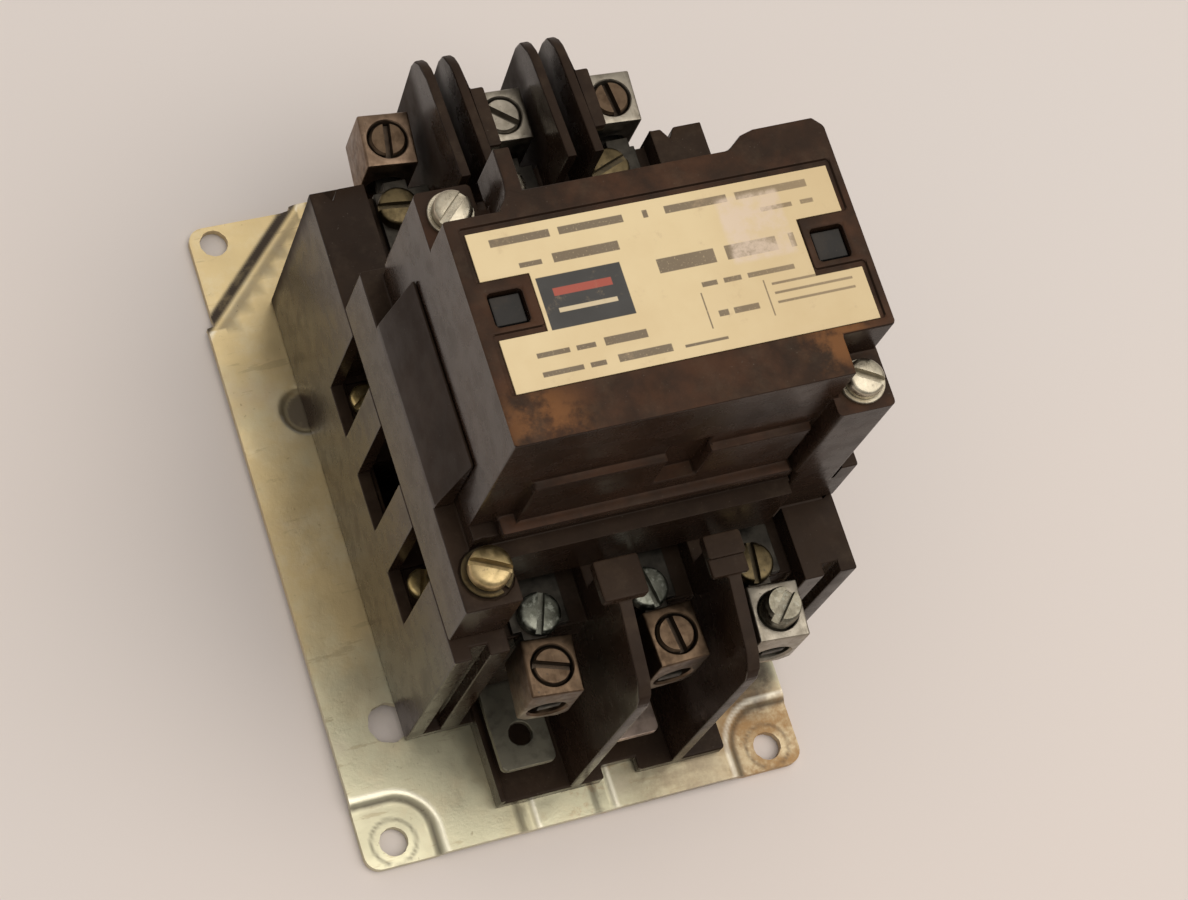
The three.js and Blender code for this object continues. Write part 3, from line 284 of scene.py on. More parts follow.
def label_print():
    """Cream sheet with a plain dark panel, ruled lines and plain bars, slightly soiled."""
    f = Finish("label_print")
    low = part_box("nameplate")[0] - MIDDLE
    left, bottom = low.x / MM, low.y / MM
    colour = f.mix(f.ramp(f.noise(50, 5), 0.35, 0.7), (0.74, 0.595, 0.345), (0.69, 0.54, 0.305))
    ink = f.ramp(f.noise(2600, 3), 0.30, 0.42, 0.6, 0.85)

    def fill(shade, x0, x1, y0, y1, share=1.0, soft=0.08):
        mask = f.inside(left + x0, left + x1, bottom + y0, bottom + y1, soft)
        return f.mix(f.math("MULTIPLY", mask, share), colour, shade)

    heavy = [(3.6, 14.2), (15.8, 27.4), (31.0, 31.9), (35.0, 46.4), (48.0, 61.2)]
    bars = [(x0, x1, 25.9, 27.3) for x0, x1 in heavy]
    bars += [(7.4, 11.4, 21.4, 22.3), (13.4, 25.2, 21.2, 22.9)]
    bars += [(51.6, 57.4, 22.9, 23.7), (59.0, 61.4, 22.9, 23.7)]
    bars += [(30.6, 41.0, 15.6, 18.2), (43.0, 52.4, 15.6, 18.2), (54.8, 55.8, 15.6, 18.2)]
    bars += [(37.0, 39.8, 11.7, 12.6), (41.0, 44.2, 11.7, 12.6), (45.4, 54.0, 11.7, 12.6)]
    bars += [(36.2, 36.45, 4.2, 10.8), (47.6, 47.85, 4.2, 10.8)]
    bars += [(38.2, 40.0, 6.0, 7.1), (41.0, 45.6, 6.0, 7.1)]
    bars += [(49.0, 63.4, y, y + 0.45) for y in (9.6, 7.9, 6.2)]
    bars += [(5.4, 11.2, 5.3, 6.2), (12.4, 15.8, 5.3, 6.2), (17.4, 25.0, 5.1, 6.6)]
    bars += [(5.4, 12.6, 1.9, 2.8), (13.8, 16.6, 1.9, 2.8), (18.8, 28.4, 1.8, 3.2), (30.6, 38.4, 1.9, 2.4)]
    for bar in bars:
        colour = fill((0.075, 0.048, 0.030), *bar, share=ink)
    colour = fill((0.030, 0.028, 0.025), 9.3, 24.3, 9.6, 19.1)
    colour = fill((0.36, 0.065, 0.038), 11.6, 22.0, 15.4, 16.8)
    colour = fill((0.62, 0.51, 0.33), 11.6, 22.0, 12.4, 13.2)
    peeled = f.ramp(f.noise(330, 6, 0.7), 0.36, 0.60, 0.2, 0.8)
    colour = fill((0.74, 0.60, 0.49), 44.0, 55.5, 14.6, 26.6, share=peeled, soft=0.5)
    colour = f.mix(f.ramp(f.axis("X"), 0.005, 0.040, 0.0, 0.35), colour, (0.50, 0.36, 0.185))
    soil = f.ramp(f.noise(140, 7, 0.75), 0.57, 0.72, 0.0, 0.4)
    colour = f.mix(soil, colour, (0.46, 0.33, 0.19))
    # Painted shade: darker brown along the label's edges, where the recess walls block light.
    colour = f.mix(f.math("MULTIPLY", f.corner_shade(0.8), 0.5), colour, (0.18, 0.10, 0.05))
    f.bump(f.noise(500, 4), 0.02, 0.4)
    return f.finish(colour, f.ramp(f.noise(200, 4), 0.3, 0.7, 0.34, 0.5))


def laminated():
    """A stack of thin sheets: fine lines across Y."""
    f = Finish("laminated_steel")
    wave = f.add("ShaderNodeTexWave", wave_type="BANDS", bands_direction="Y")
    f.feed(wave.inputs["Vector"], f.position)
    wave.inputs["Scale"].default_value = 330
    wave.inputs["Distortion"].default_value = 0.3
    lines = wave.outputs["Fac"]
    colour = f.mix(f.ramp(lines, 0.0, 0.5), (0.05, 0.05, 0.055), (0.24, 0.24, 0.25))
    colour = f.mix(f.ramp(f.noise(130, 5), 0.5, 0.7, 0.0, 0.6), colour, (0.20, 0.11, 0.05))
    f.bump(lines, 0.12, 0.8)
    return f.finish(colour, f.ramp(f.noise(400, 4), 0.3, 0.7, 0.3, 0.5), 0.85)


def faced_copper(name, base, dark, face_low, face_high, tints=()):
    """Copper strip with a silver facing between two heights; tints are ((x, y, z), reach, colour)."""
    f = Finish(name)
    colour = f.mix(f.ramp(f.noise(300, 6, 0.65), 0.38, 0.66), base, dark)
    for place, reach, tint in tints:
        patches = f.ramp(f.noise(350, 5), 0.3, 0.55, 0.6, 1.0)
        colour = f.mix(f.math("MULTIPLY", f.near(*place, reach * 0.7, reach), patches), colour, tint)
    z = f.axis("Z")
    facing = f.math("MULTIPLY", f.ramp(z, (face_low - 0.03) * MM, (face_low + 0.03) * MM),
                    f.ramp(z, (face_high - 0.03) * MM, (face_high + 0.03) * MM, 1.0, 0.0))
    colour = f.mix(facing, colour, (0.72, 0.71, 0.68))
    # Painted shade: dark deep in corners, where light is blocked.
    darkening = f.math("MULTIPLY", f.corner_shade(1.5), 0.6)
    colour = f.mix(darkening, colour, (0.05, 0.035, 0.025))
    f.bump(f.noise(1200, 4, 0.7), 0.03, 0.5)
    return f.finish(colour, f.ramp(f.noise(500, 5), 0.3, 0.7, 0.35, 0.55), 0.85)


def wound_coil():
    """Dipped winding: fine turns showing through dark red resin."""
    f = Finish("coil_resin")
    wave = f.add("ShaderNodeTexWave", wave_type="BANDS", bands_direction="Z")
    f.feed(wave.inputs["Vector"], f.position)
    wave.inputs["Scale"].default_value = 420
    wave.inputs["Distortion"].default_value = 0.6
    colour = f.mix(f.ramp(f.noise(150, 5), 0.35, 0.7), (0.17, 0.035, 0.022), (0.10, 0.02, 0.015))
    f.bump(wave.outputs["Fac"], 0.10, 0.6)
    return f.finish(colour, f.ramp(f.noise(250, 4), 0.3, 0.7, 0.16, 0.3), 0.0, Coat_Weight=0.5)


HOUSING = moulding("housing_phenolic", (0.020, 0.0115, 0.0075), (0.031, 0.018, 0.011), (0.12, 0.092, 0.07))
COVER = moulding("cover_phenolic", (0.021, 0.012, 0.0078), (0.034, 0.018, 0.011), (0.11, 0.075, 0.052),
                 cover_weather)
POST = moulding("carrier_phenolic", (0.024, 0.024, 0.024), (0.036, 0.035, 0.034), (0.09, 0.085, 0.08))
SHEET = plated_sheet()
LABEL = label_print()
LAMINATED = laminated()
COIL = wound_coil()
METALS = {
    "zinc_screw": bare_metal("zinc_screw", (0.50, 0.45, 0.35), (0.36, 0.32, 0.245), (0.08, 0.065, 0.045),
                             (0.22, 0.40), (0.8, 0.77, 0.68), 0.6, 0.2),
    "brass_screw": bare_metal("brass_screw", (0.12, 0.092, 0.048), (0.065, 0.05, 0.027), (0.03, 0.022, 0.012),
                              (0.28, 0.48), (0.46, 0.40, 0.26), 0.8),
    "copper_lug": bare_metal("copper_lug", (0.21, 0.145, 0.10), (0.14, 0.095, 0.064), (0.04, 0.028, 0.018),
                             (0.3, 0.5), (0.34, 0.27, 0.20), 0.85),
    "tinned_lug": bare_metal("tinned_lug", (0.31, 0.28, 0.23), (0.22, 0.195, 0.155), (0.07, 0.055, 0.04),
                             (0.28, 0.48), (0.64, 0.60, 0.53), 0.7),
    "tinned_copper": bare_metal("tinned_copper", (0.40, 0.38, 0.33), (0.26, 0.24, 0.20), (0.05, 0.04, 0.03),
                                (0.3, 0.5), (0.6, 0.57, 0.5), 0.7),
    "spring_steel": bare_metal("spring_steel", (0.50, 0.50, 0.51), (0.36, 0.36, 0.37), (0.06, 0.055, 0.05),
                               (0.2, 0.35)),
}
CLEAN_BRASS = bare_metal("clean_brass", (0.80, 0.62, 0.30), (0.58, 0.43, 0.18), (0.10, 0.07, 0.03),
                         (0.30, 0.5), (0.9, 0.78, 0.5), 0.5)
DULL_BRASS = bare_metal("dull_brass", (0.52, 0.40, 0.21), (0.35, 0.27, 0.13), (0.07, 0.05, 0.025),
                        (0.28, 0.48), (0.84, 0.74, 0.50), 0.7)
CHALKY_ZINC = bare_metal("chalky_zinc", (0.21, 0.215, 0.18), (0.11, 0.115, 0.09), (0.06, 0.052, 0.036),
                         (0.30, 0.5), (0.72, 0.72, 0.64), 0.6, 0.6)
WORN_ZINC = bare_metal("worn_zinc", (0.24, 0.22, 0.17), (0.15, 0.135, 0.10), (0.04, 0.032, 0.022),
                       (0.25, 0.42), (0.60, 0.59, 0.52), 0.5, 0.25)
DARK_COPPER = bare_metal("dark_copper", (0.115, 0.078, 0.050), (0.070, 0.046, 0.029), (0.025, 0.017, 0.010),
                         (0.3, 0.5), (0.26, 0.20, 0.14), 0.85)


# ---------------------------------------------------------------- mesh helpers
def piece(name, bm, material, body, slot, *nodes, smooth=35):
    """Turns a bmesh in millimetres into a named piece that rides on a body and stands for CAD nodes."""
    mesh = bpy.data.meshes.new(name)
    bmesh.ops.scale(bm, vec=(MM, MM, MM), verts=bm.verts)
    bmesh.ops.recalc_face_normals(bm, faces=bm.faces)
    limit = math.radians(smooth)
    for face in bm.faces:
        face.smooth = True
    for edge in bm.edges:
        edge.smooth = edge.is_manifold and edge.calc_face_angle(0.0) < limit
    bm.to_mesh(mesh)
    bm.free()
    mesh.materials.append(material)
    obj = bpy.data.objects.new(name, mesh)
    bpy.context.scene.collection.objects.link(obj)
    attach(obj, body)
    if nodes:
        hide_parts(*nodes)
    return obj


def modified(bm, *modifiers):
    """Applies modifiers, given as (type, settings) pairs, to a bmesh."""
    mesh = bpy.data.meshes.new("work")
    bm.to_mesh(mesh)
    bm.free()
    work = bpy.data.objects.new("work", mesh)
    bpy.context.scene.collection.objects.link(work)
    for kind, settings in modifiers:
        modifier = work.modifiers.new(kind, kind)
        for key, value in settings.items():
            setattr(modifier, key, value)
    evaluated = work.evaluated_get(bpy.context.evaluated_depsgraph_get())
    result = bmesh.new()
    result.from_mesh(evaluated.to_mesh())
    bpy.data.objects.remove(work)
    bpy.data.meshes.remove(mesh)
    return result


def cut(bm, cutters):
    """Subtracts each cutter bmesh from bm."""
    for cutter in cutters:
        mesh = bpy.data.meshes.new("cutter")
        bmesh.ops.recalc_face_normals(cutter, faces=cutter.faces)
        cutter.to_mesh(mesh)
        cutter.free()
        tool = bpy.data.objects.new("cutter", mesh)
        bpy.context.scene.collection.objects.link(tool)
        bmesh.ops.recalc_face_normals(bm, faces=bm.faces)
        bm = modified(bm, ("BOOLEAN", {"operation": "DIFFERENCE", "solver": "EXACT", "object": tool}))
        bpy.data.objects.remove(tool)
        bpy.data.meshes.remove(mesh)
    return bm


def rounded(bm, width, angle=28, segments=2):
    """Rounds every sharp edge, by less where its neighbours are short, and marks the rounded strips as worn.

    Flat faces are cut into well shaped triangles first, so no flat edge runs close past a rounded corner.
    """
    bmesh.ops.remove_doubles(bm, verts=bm.verts, dist=0.002)
    bmesh.ops.dissolve_limit(bm, angle_limit=math.radians(1.5), verts=bm.verts, edges=bm.edges)
    bmesh.ops.triangulate(bm, faces=bm.faces, quad_method="BEAUTY", ngon_method="BEAUTY")
    flat = [edge for edge in bm.edges if edge.is_manifold and edge.calc_face_angle(0.0) < math.radians(1)]
    bmesh.ops.beautify_fill(bm, faces=bm.faces, edges=flat, method="ANGLE")
    weight = bm.edges.layers.float.new("bevel_weight_edge")
    creases = {edge for edge in bm.edges if edge.is_manifold and edge.calc_face_angle(0.0) > math.radians(1)}
    for edge in creases:
        if edge.calc_face_angle(0.0) < math.radians(angle):
            continue
        near = {other for end in edge.verts for other in end.link_edges} & creases
        room = min((other.calc_length() for other in near if other is not edge), default=width)
        edge[weight] = min(1.0, 0.4 * room / width)
    bm = modified(bm, ("BEVEL", {
        "width": width, "segments": segments, "limit_method": "WEIGHT", "use_clamp_overlap": False,
        "material": 1,
    }))
    wear = bm.faces.layers.float.new("wear")
    for face in bm.faces:
        face[wear] = float(face.material_index == 1)
        face.material_index = 0
    return bm


def copy_of(node):
    """The CAD node's mesh as a bmesh in millimetres."""
    bm = bmesh.new()
    bm.from_mesh(frame["nodes"][node].data)
    for layer in list(bm.loops.layers.uv):
        bm.loops.layers.uv.remove(layer)
    bmesh.ops.scale(bm, vec=(1 / MM,) * 3, verts=bm.verts)
    return bm


def refine(node, material, width, body=BASE, **options):
    """Stands for a CAD node with the same shape, its edges rounded."""
    slot = next(row["material_slot"] for row in frame["record"]["subparts"] if row["node"] == node)
    bm = rounded(copy_of(node), width, **options)
    obj = piece(f"{node}_look", bm, material, body, slot, node)
    obj.modifiers.new("weighted", "WEIGHTED_NORMAL").keep_sharp = True
    return obj


def centre(node):
    """The middle and the size of a CAD node, in millimetres."""
    low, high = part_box(node)
    return (low + high) / 2 / MM, (high - low) / MM


def lathe(points, sides=ROUND):
    """A closed turned solid about Z from [radius, z] points that start and end on the axis."""
    bm = bmesh.new()
    rings = []
    for radius, z in points:
        if radius < 1e-6:
            rings.append([bm.verts.new((0, 0, z))])
            continue
        angles = [2 * math.pi * k / sides for k in range(sides)]
        rings.append([bm.verts.new((radius * math.cos(a), radius * math.sin(a), z)) for a in angles])
    for lower, upper in zip(rings, rings[1:]):
        for k in range(sides):
            a, b = lower[k % len(lower)], lower[(k + 1) % len(lower)]
            c, d = upper[(k + 1) % len(upper)], upper[k % len(upper)]
            corners = list(dict.fromkeys([a, b, c, d]))
            if len(corners) > 2:
                bm.faces.new(corners)
    bmesh.ops.recalc_face_normals(bm, faces=bm.faces)
    return bm


def block(x0, x1, y0, y1, z0, z1):
    """A box between two corners."""
    bm = bmesh.new()
    bmesh.ops.create_cube(bm, size=1, matrix=Matrix.Translation(((x0 + x1) / 2, (y0 + y1) / 2, (z0 + z1) / 2))
                          @ Matrix.Diagonal((x1 - x0, y1 - y0, z1 - z0, 1)))
    return bm


def placed(bm, x, y, z, turn=0.0, tilt=0.0):
    """Tilts a bmesh about X, turns it about Z and moves it."""
    matrix = Matrix.Translation((x, y, z)) @ Matrix.Rotation(math.radians(turn), 4, "Z")
    bmesh.ops.transform(bm, matrix=matrix @ Matrix.Rotation(math.radians(tilt), 4, "X"), verts=bm.verts)
    return bm


# ---------------------------------------------------------------- screws, washers, lugs and springs
def slot_cutter(width, depth, top, reach):
    """A screwdriver slot whose mouth is slightly wider than its floor."""
    bm = block(-reach, reach, -width / 2, width / 2, top - depth, top + 0.6)
    for vert in bm.verts:
        if vert.co.z > top:
            vert.co.y *= 1.25
    return bm


def threaded(radius, bottom, top, pitch, depth, bevel=0.6):
    """A cylinder whose side winds up as a screw thread, with a bevelled end."""
    sides = 36
    rows = max(8, round((top - bottom) / pitch * 8))
    bm = bmesh.new()
    rings = []
    for row in range(rows + 1):
        z = bottom + (top - bottom) * row / rows
        fade = min(1.0, (top - z) / bevel) if top - z < bevel else 1.0
        ring = []
        for k in range(sides):
            angle = 2 * math.pi * k / sides
            phase = (z / pitch - k / sides) % 1.0
            groove = depth * (1 - abs(2 * phase - 1)) ** 0.8
            r = radius - groove - (1 - fade) * bevel * 0.5
            ring.append(bm.verts.new((r * math.cos(angle), r * math.sin(angle), z)))
        rings.append(ring)
    for lower, upper in zip(rings, rings[1:]):
        for k in range(sides):
            j = (k + 1) % sides
            bm.faces.new((lower[k], lower[j], upper[j], upper[k]))
    bm.faces.new(rings[-1])
    bm.faces.new(list(reversed(rings[0])))
    return bm


def own_metal(node):
    """The metal and the record's material slot of a CAD node."""
    slot = next(row["material_slot"] for row in frame["record"]["subparts"] if row["node"] == node)
    return METALS[slot], slot


def slotted(head, shank, length, height, width, turn, at, undercut):
    """A slotted head on a plain shank; z = 0 is under the head, which is narrower there by the undercut."""
    edge = height * 0.3
    dome = 0.2
    foot = 0.15 + undercut * 1.2
    profile = [(0, -length), (shank - 0.3, -length), (shank, -length + 0.3), (shank, 0)]
    profile += [(head - 0.15 - undercut, 0), (head, foot), (head, height - edge - 0.1)]
    profile += [
        (head - edge * (1 - math.cos(a)), height - dome - edge * (1 - math.sin(a)))
        for a in (math.pi / 8, math.pi / 4, math.pi * 3 / 8, math.pi / 2)
    ]
    profile += [(head * 0.5, height - dome * 0.3), (0, height)]
    bm = cut(lathe(profile), [slot_cutter(width, height * 0.5, height, head + 1)])
    return placed(bm, *at, turn)


def turned_screw(node, head, height, width, turn, undercut=0.0, material=None):
    """Stands for a headed CAD screw at its own place."""
    own_material, slot = own_metal(node)
    at, size = centre(node)
    length = size.z - height
    top = at.z + size.z / 2
    bm = slotted(head, 1.9, length, height, width, turn, (at.x, at.y, top - height), undercut)
    piece(f"{node}_look", bm, material or own_material, BASE, slot, node)


def clamp_screw(node, turn, pitch=0.9, depth=0.28, width=1.15, material=None):
    """Stands for a headless clamp screw."""
    own_material, slot = own_metal(node)
    at, size = centre(node)
    radius = size.x / 2
    bm = threaded(radius, 0, size.z, pitch, depth)
    bm = cut(bm, [slot_cutter(width, 1.7, size.z, radius + 1)])
    bm = placed(bm, at.x, at.y, at.z - size.z / 2, turn)
    piece(f"{node}_look", bm, material or own_material, BASE, slot, node)


def washer_section(inner, outer, t, e):
    """The [radius, z] section of a washer t thick, its corners cut by e."""
    return [(inner, e), (inner + e, 0), (outer - e, 0), (outer, e),
            (outer, t - e), (outer - e, t), (inner + e, t), (inner, t - e)]


def flat_washer(node, outer, inner):
    """Stands for a plain washer."""
    material, slot = own_metal(node)
    at, size = centre(node)
    bm = ring_solid(washer_section(inner, outer, size.z, 0.12))
    piece(f"{node}_look", placed(bm, at.x, at.y, at.z - size.z / 2), material, BASE, slot, node)


def ring_solid(section, start=0.0, end=360.0, rise=0.0):
    """A [radius, z] section swept about Z; a part turn is closed at its two ends and may climb."""
    full = end - start > 359.9
    steps = ROUND
    bm = bmesh.new()
    rings = []
    for k in range(steps if full else steps + 1):
        share = k / steps
        angle = math.radians(start + (end - start) * share)
        lift = rise * share
        rings.append([bm.verts.new((r * math.cos(angle), r * math.sin(angle), z + lift)) for r, z in section])
    count = len(section)
    pairs = list(zip(rings, rings[1:])) + ([(rings[-1], rings[0])] if full else [])
    for a, b in pairs:
        for j in range(count):
            i = (j + 1) % count
            bm.faces.new((a[j], a[i], b[i], b[j]))
    if not full:
        bm.faces.new(rings[0])
        bm.faces.new(list(reversed(rings[-1])))
    return bm


def lock_washer(node, outer, inner, gap_turn):
    """A split spring washer: a ring with a gap, one end slightly raised."""
    material, slot = own_metal(node)
    at, size = centre(node)
    section = washer_section(inner, outer, size.z - 0.3, 0.14)
    bm = placed(ring_solid(section, gap_turn + 9, gap_turn + 351, 0.5), at.x, at.y, at.z - size.z / 2)
    piece(f"{node}_look", bm, material, BASE, slot, node)


def box_lug(node, turn, material=None):
    """A box lug with rounded edges, a flared round wire opening and a round clamp screw hole."""
    own_material, slot = own_metal(node)
    at = centre(node)[0]
    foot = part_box(node)[0].z / MM
    half_x, half_y, height = 4.9, 5.35, 14.0
    bore_z, bore_r, hole_r = 4.9, 3.5, 3.85
    bm = block(-half_x, half_x, -half_y, half_y, 0, height)
    floor_edges = [edge for edge in bm.edges if all(vert.co.z < 0.1 for vert in edge.verts)]
    bottom = [edge for edge in floor_edges if abs(edge.verts[0].co.x - edge.verts[1].co.x) < 0.1]
    bmesh.ops.bevel(bm, geom=bottom, offset=1.4, segments=1, affect="EDGES")
    bm = rounded(bm, 0.42, segments=3)
    flare = bore_r + 1.4
    bore = lathe([(0, -half_y - 1), (flare, -half_y - 1), (bore_r, -half_y + 0.4), (bore_r, half_y - 0.4),
                  (flare, half_y + 1), (0, half_y + 1)])
    bore = placed(bore, 0, 0, bore_z, 0, 90)
    hole = lathe([(0, bore_z), (hole_r, bore_z), (hole_r, height - 0.2), (hole_r + 0.9, height + 0.7),
                  (0, height + 0.7)])
    bm = cut(bm, [bore, hole])
    bm = placed(bm, at.x, at.y, foot, turn)
    piece(f"{node}_look", bm, material or own_material, BASE, slot, node, smooth=30)


def round_spring(node, radius, wire, turns, body, joint, fixed_z, keep):
    """A smooth wound spring, riding on its body."""
    material, slot = own_metal(node)
    at = centre(node)[0]
    low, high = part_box(node)
    z0, z1 = low.z / MM + wire, high.z / MM - wire
    steps, sides = turns * 24, 8
    bm = bmesh.new()
    rings = []
    for k in range(steps + 1):
        share = k / steps
        angle = share * turns * 2 * math.pi
        climb = min(1, max(0, (share * turns - 0.7) / (turns - 1.4)))
        middle = Vector((radius * math.cos(angle), radius * math.sin(angle), z0 + (z1 - z0) * climb))
        out = Vector((math.cos(angle), math.sin(angle), 0))
        ring = []
        for j in range(sides):
            a = 2 * math.pi * j / sides
            lift = Vector((0, 0, wire * math.sin(a)))
            ring.append(bm.verts.new(middle + out * (wire * math.cos(a)) + lift))
        rings.append(ring)
    for a, b in zip(rings, rings[1:]):
        for j in range(sides):
            i = (j + 1) % sides
            bm.faces.new((a[j], a[i], b[i], b[j]))
    bm.faces.new(rings[0])
    bm.faces.new(list(reversed(rings[-1])))
    obj = piece(f"{node}_look", placed(bm, at.x, at.y, 0), material, body, slot, node, smooth=60)
    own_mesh(obj)


# ---------------------------------------------------------------- mounting plate
def step(distance, width=1.0):
    """0 to 1 across a pressed step centred on distance 0."""
    t = max(0.0, min(1.0, 0.5 + distance / width))
    return t * t * (3 - 2 * t)


def plate_sheet():
    """The pressed plate: stepped corner pads, rings round the front holes, a dimple and two channels."""
    half_x, half_y = (PLATE_HIGH.x - MIDDLE.x) / MM, (PLATE_HIGH.y - MIDDLE.y) / MM
    sheet = 1.6
    rise = PLATE_HIGH.z / MM - sheet
    hole_x, hole_y, hole_r = 38.2, 62.3, 2.8
    cable = (-32.9, -40.3, 4.0)
    channels = ((-14.1, -10.6), (1.2, 5.2))
    dimple = (-30.5, 24.0, 4.5)
    step_x, step_y = 22.9, 22.1         # reach of the diagonal step round the top left pad
    trim_x, trim_y = 1.5, 0.9           # how much smaller the sheet is at that corner
    step_depth = step_x * step_y / math.hypot(step_x, step_y)

    def diagonal(x, y):
        """Millimetres from the diagonal step, negative on its pad."""
        return ((x + half_x) / step_x + (half_y - y) / step_y - 1) * step_depth

    def pad_distance(x, y):
        """Millimetres outside the nearest corner pad, negative inside it."""
        found = []
        for sx, sy, reach_x, reach_y in ((-1, -1, 14.2, 12.6), (1, -1, 13.4, 12.6), (1, 1, 14.2, 12.6)):
            u, v = half_x - sx * x, half_y - sy * y
            r = 7.5
            du, dv = u - (reach_x - r), v - (reach_y - r)
            outside = math.hypot(max(du, 0), max(dv, 0)) + min(max(du, dv), 0)
            found.append(outside - r)
        return min(*found, diagonal(x, y))

    def shape(x, y):
        """(height of the underside, painted shade and dirt, painted highlight) at a point."""
        d = pad_distance(x, y)
        z = rise * step(d - 0.1, 2.0)
        # Top left pad: a painted dark band where the diagonal step face is in shade, and a fainter band
        # beside it.
        if x < -half_x + step_x + 1 and y > half_y - step_y - 1:
            shade_and_dirt = max(step(1.0 - abs(d + 0.1), 0.8), 0.45 * step(0.8 - abs(d - 2.6), 0.9))
            painted_highlight = 0.0
        else:
            # Other pads: a painted shade line on the step and a painted highlight just outside it.
            shade_and_dirt = 0.75 * max(0.0, 1 - abs(d + 0.2) / 1.1)
            painted_highlight = max(0.0, 1 - abs(d - 1.3) / 0.7)
        # A dark ring in the groove round each front hole, partly painted shade and partly dirt.
        for sx, sy in ((-1, -1), (1, -1)):
            r = math.hypot(x - sx * hole_x, y - sy * hole_y)
            z -= 0.18 * max(0.0, 1 - abs(r - 4.3) / 0.55)
            shade_and_dirt = max(shade_and_dirt, 0.6 * max(0.0, 1 - abs(r - 4.3) / 0.5))
        # Each channel: painted shade along one wall and a painted highlight along the other.
        for x0, x1 in channels:
            if y < -half_y + 9.5:
                inside = min(x - x0, x1 - x)
                z -= 0.35 * step(inside - 0.5, 0.9)
                shade_and_dirt = max(shade_and_dirt, 0.7 * max(0.0, 1 - abs(x - x0) / 0.9))
                painted_highlight = max(painted_highlight, max(0.0, 1 - abs(x - x1) / 0.6))
        # The dimple: painted shade inside it and a painted highlight on its near rim.
        r = math.hypot(x - dimple[0], y - dimple[1])
        z -= 0.7 * step(dimple[2] - r, 1.2)
        painted_highlight = max(painted_highlight, max(0.0, 1 - abs(r - dimple[2] - 0.4) / 0.5) if y < dimple[1] else 0.0)
        shade_and_dirt = max(shade_and_dirt, 0.9 * step(dimple[2] - 0.6 - r, 1.0))
        return max(z, 0.0), shade_and_dirt, painted_highlight

    corner = 3.0
    inset_x, inset_y = half_x - corner, half_y - corner

    def arc(x, y, start):
        angles = [math.radians(start + 15 * k) for k in range(7)]
        return [(x + corner * math.cos(a), y + corner * math.sin(a)) for a in angles]

    outline = arc(inset_x, -inset_y, -90) + arc(inset_x, inset_y, 0)
    outline += [(-half_x + step_x, half_y), (-half_x + step_x, half_y - trim_y)]
    outline += arc(-inset_x + trim_x, inset_y - trim_y, 90)
    outline += [(-half_x + trim_x, half_y - step_y), (-half_x, half_y - step_y)]
    outline += arc(-inset_x, -inset_y, 180)
    holes = [(sx * hole_x, sy * hole_y, hole_r) for sx in (-1, 1) for sy in (-1, 1)] + [cable]
    points, edges = [], []

    def loop(corners):
        first = len(points)
        points.extend(corners)
        edges.extend((first + k, first + (k + 1) % len(corners)) for k in range(len(corners)))

    dense = []
    for (ax, ay), (bx, by) in zip(outline, outline[1:] + outline[:1]):
        count = max(1, round(math.hypot(bx - ax, by - ay) / 0.8))
        dense += [(ax + (bx - ax) * k / count, ay + (by - ay) * k / count) for k in range(count)]
    loop(dense)
    circle = [2 * math.pi * k / 32 for k in range(32)]
    for x, y, r in holes:
        loop([(x + r * math.cos(a), y + r * math.sin(a)) for a in circle])

    def hole_gap(x, y):
        return min(math.hypot(x - hx, y - hy) - r for hx, hy, r in holes)

    def on_sheet(x, y):
        """Whether a point is on the sheet, clear of its outline and its holes."""
        trimmed = x < -half_x + step_x and y > half_y - step_y
        side = min(x + half_x - trimmed * trim_x, half_x - x)
        end = min(y + half_y, half_y - trimmed * trim_y - y)
        in_corner = math.hypot(max(corner - side, 0), max(corner - end, 0)) > corner - 0.4
        return min(side, end) > 0.4 and not in_corner and hole_gap(x, y) > 0.35

    along = Vector((-step_x, -step_y)).normalized()
    across = Vector((-along.y, along.x))
    corner_top = Vector((step_x - half_x, half_y))
    for row in range(-12, 14):
        for k in range(60):
            spot = corner_top + along * (k + 0.5 * (row % 2)) * 0.55 - across * row * 0.25
            if on_sheet(spot.x, spot.y):
                points.append((spot.x, spot.y))
    cell = 0.55
    for i in range(int(2 * half_x / cell)):
        for j in range(int(2 * half_y / cell)):
            x, y = -half_x + (i + 0.5) * cell, -half_y + (j + 0.5) * cell
            if abs(diagonal(x, y)) < 3.5 or not on_sheet(x, y):
                continue
            near_dimple = abs(math.hypot(x - dimple[0], y - dimple[1]) - dimple[2]) < 2.2
            near_ring = hole_gap(x, y) < 2.6
            near_channel = y < -half_y + 10.5 and any(x0 - 1.2 < x < x1 + 1.2 for x0, x1 in channels)
            near_step = abs(pad_distance(x, y)) < 2.4
            if near_step or near_dimple or near_ring or near_channel or (i % 6 == 0 and j % 6 == 0):
                points.append((x, y))
    result = delaunay_2d_cdt([Vector(p) for p in points], edges, [], 1, 1e-5)
    flat, triangles = result[0], result[2]
    bm = bmesh.new()
    shade_and_dirt_layer = bm.verts.layers.float.new("shade_and_dirt")
    painted_highlight_layer = bm.verts.layers.float.new("painted_highlight")
    upper, lower = [], []
    for p in flat:
        z, shade_and_dirt, painted_highlight = shape(p.x, p.y)
        a, b = bm.verts.new((p.x, p.y, z + sheet)), bm.verts.new((p.x, p.y, z))
        a[shade_and_dirt_layer], a[painted_highlight_layer] = shade_and_dirt, painted_highlight
        upper.append(a)
        lower.append(b)
    for triangle in triangles:
        middle = sum((flat[k] for k in triangle), Vector((0, 0))) / 3
        if any(math.hypot(middle.x - x, middle.y - y) < r * 0.97 for x, y, r in holes):
            continue
        bm.faces.new([upper[k] for k in triangle])
        bm.faces.new([lower[k] for k in reversed(triangle)])
    below = dict(zip(upper, lower))
    rim = [edge for edge in bm.edges if edge.is_boundary and edge.verts[0] in below]
    for edge in rim:
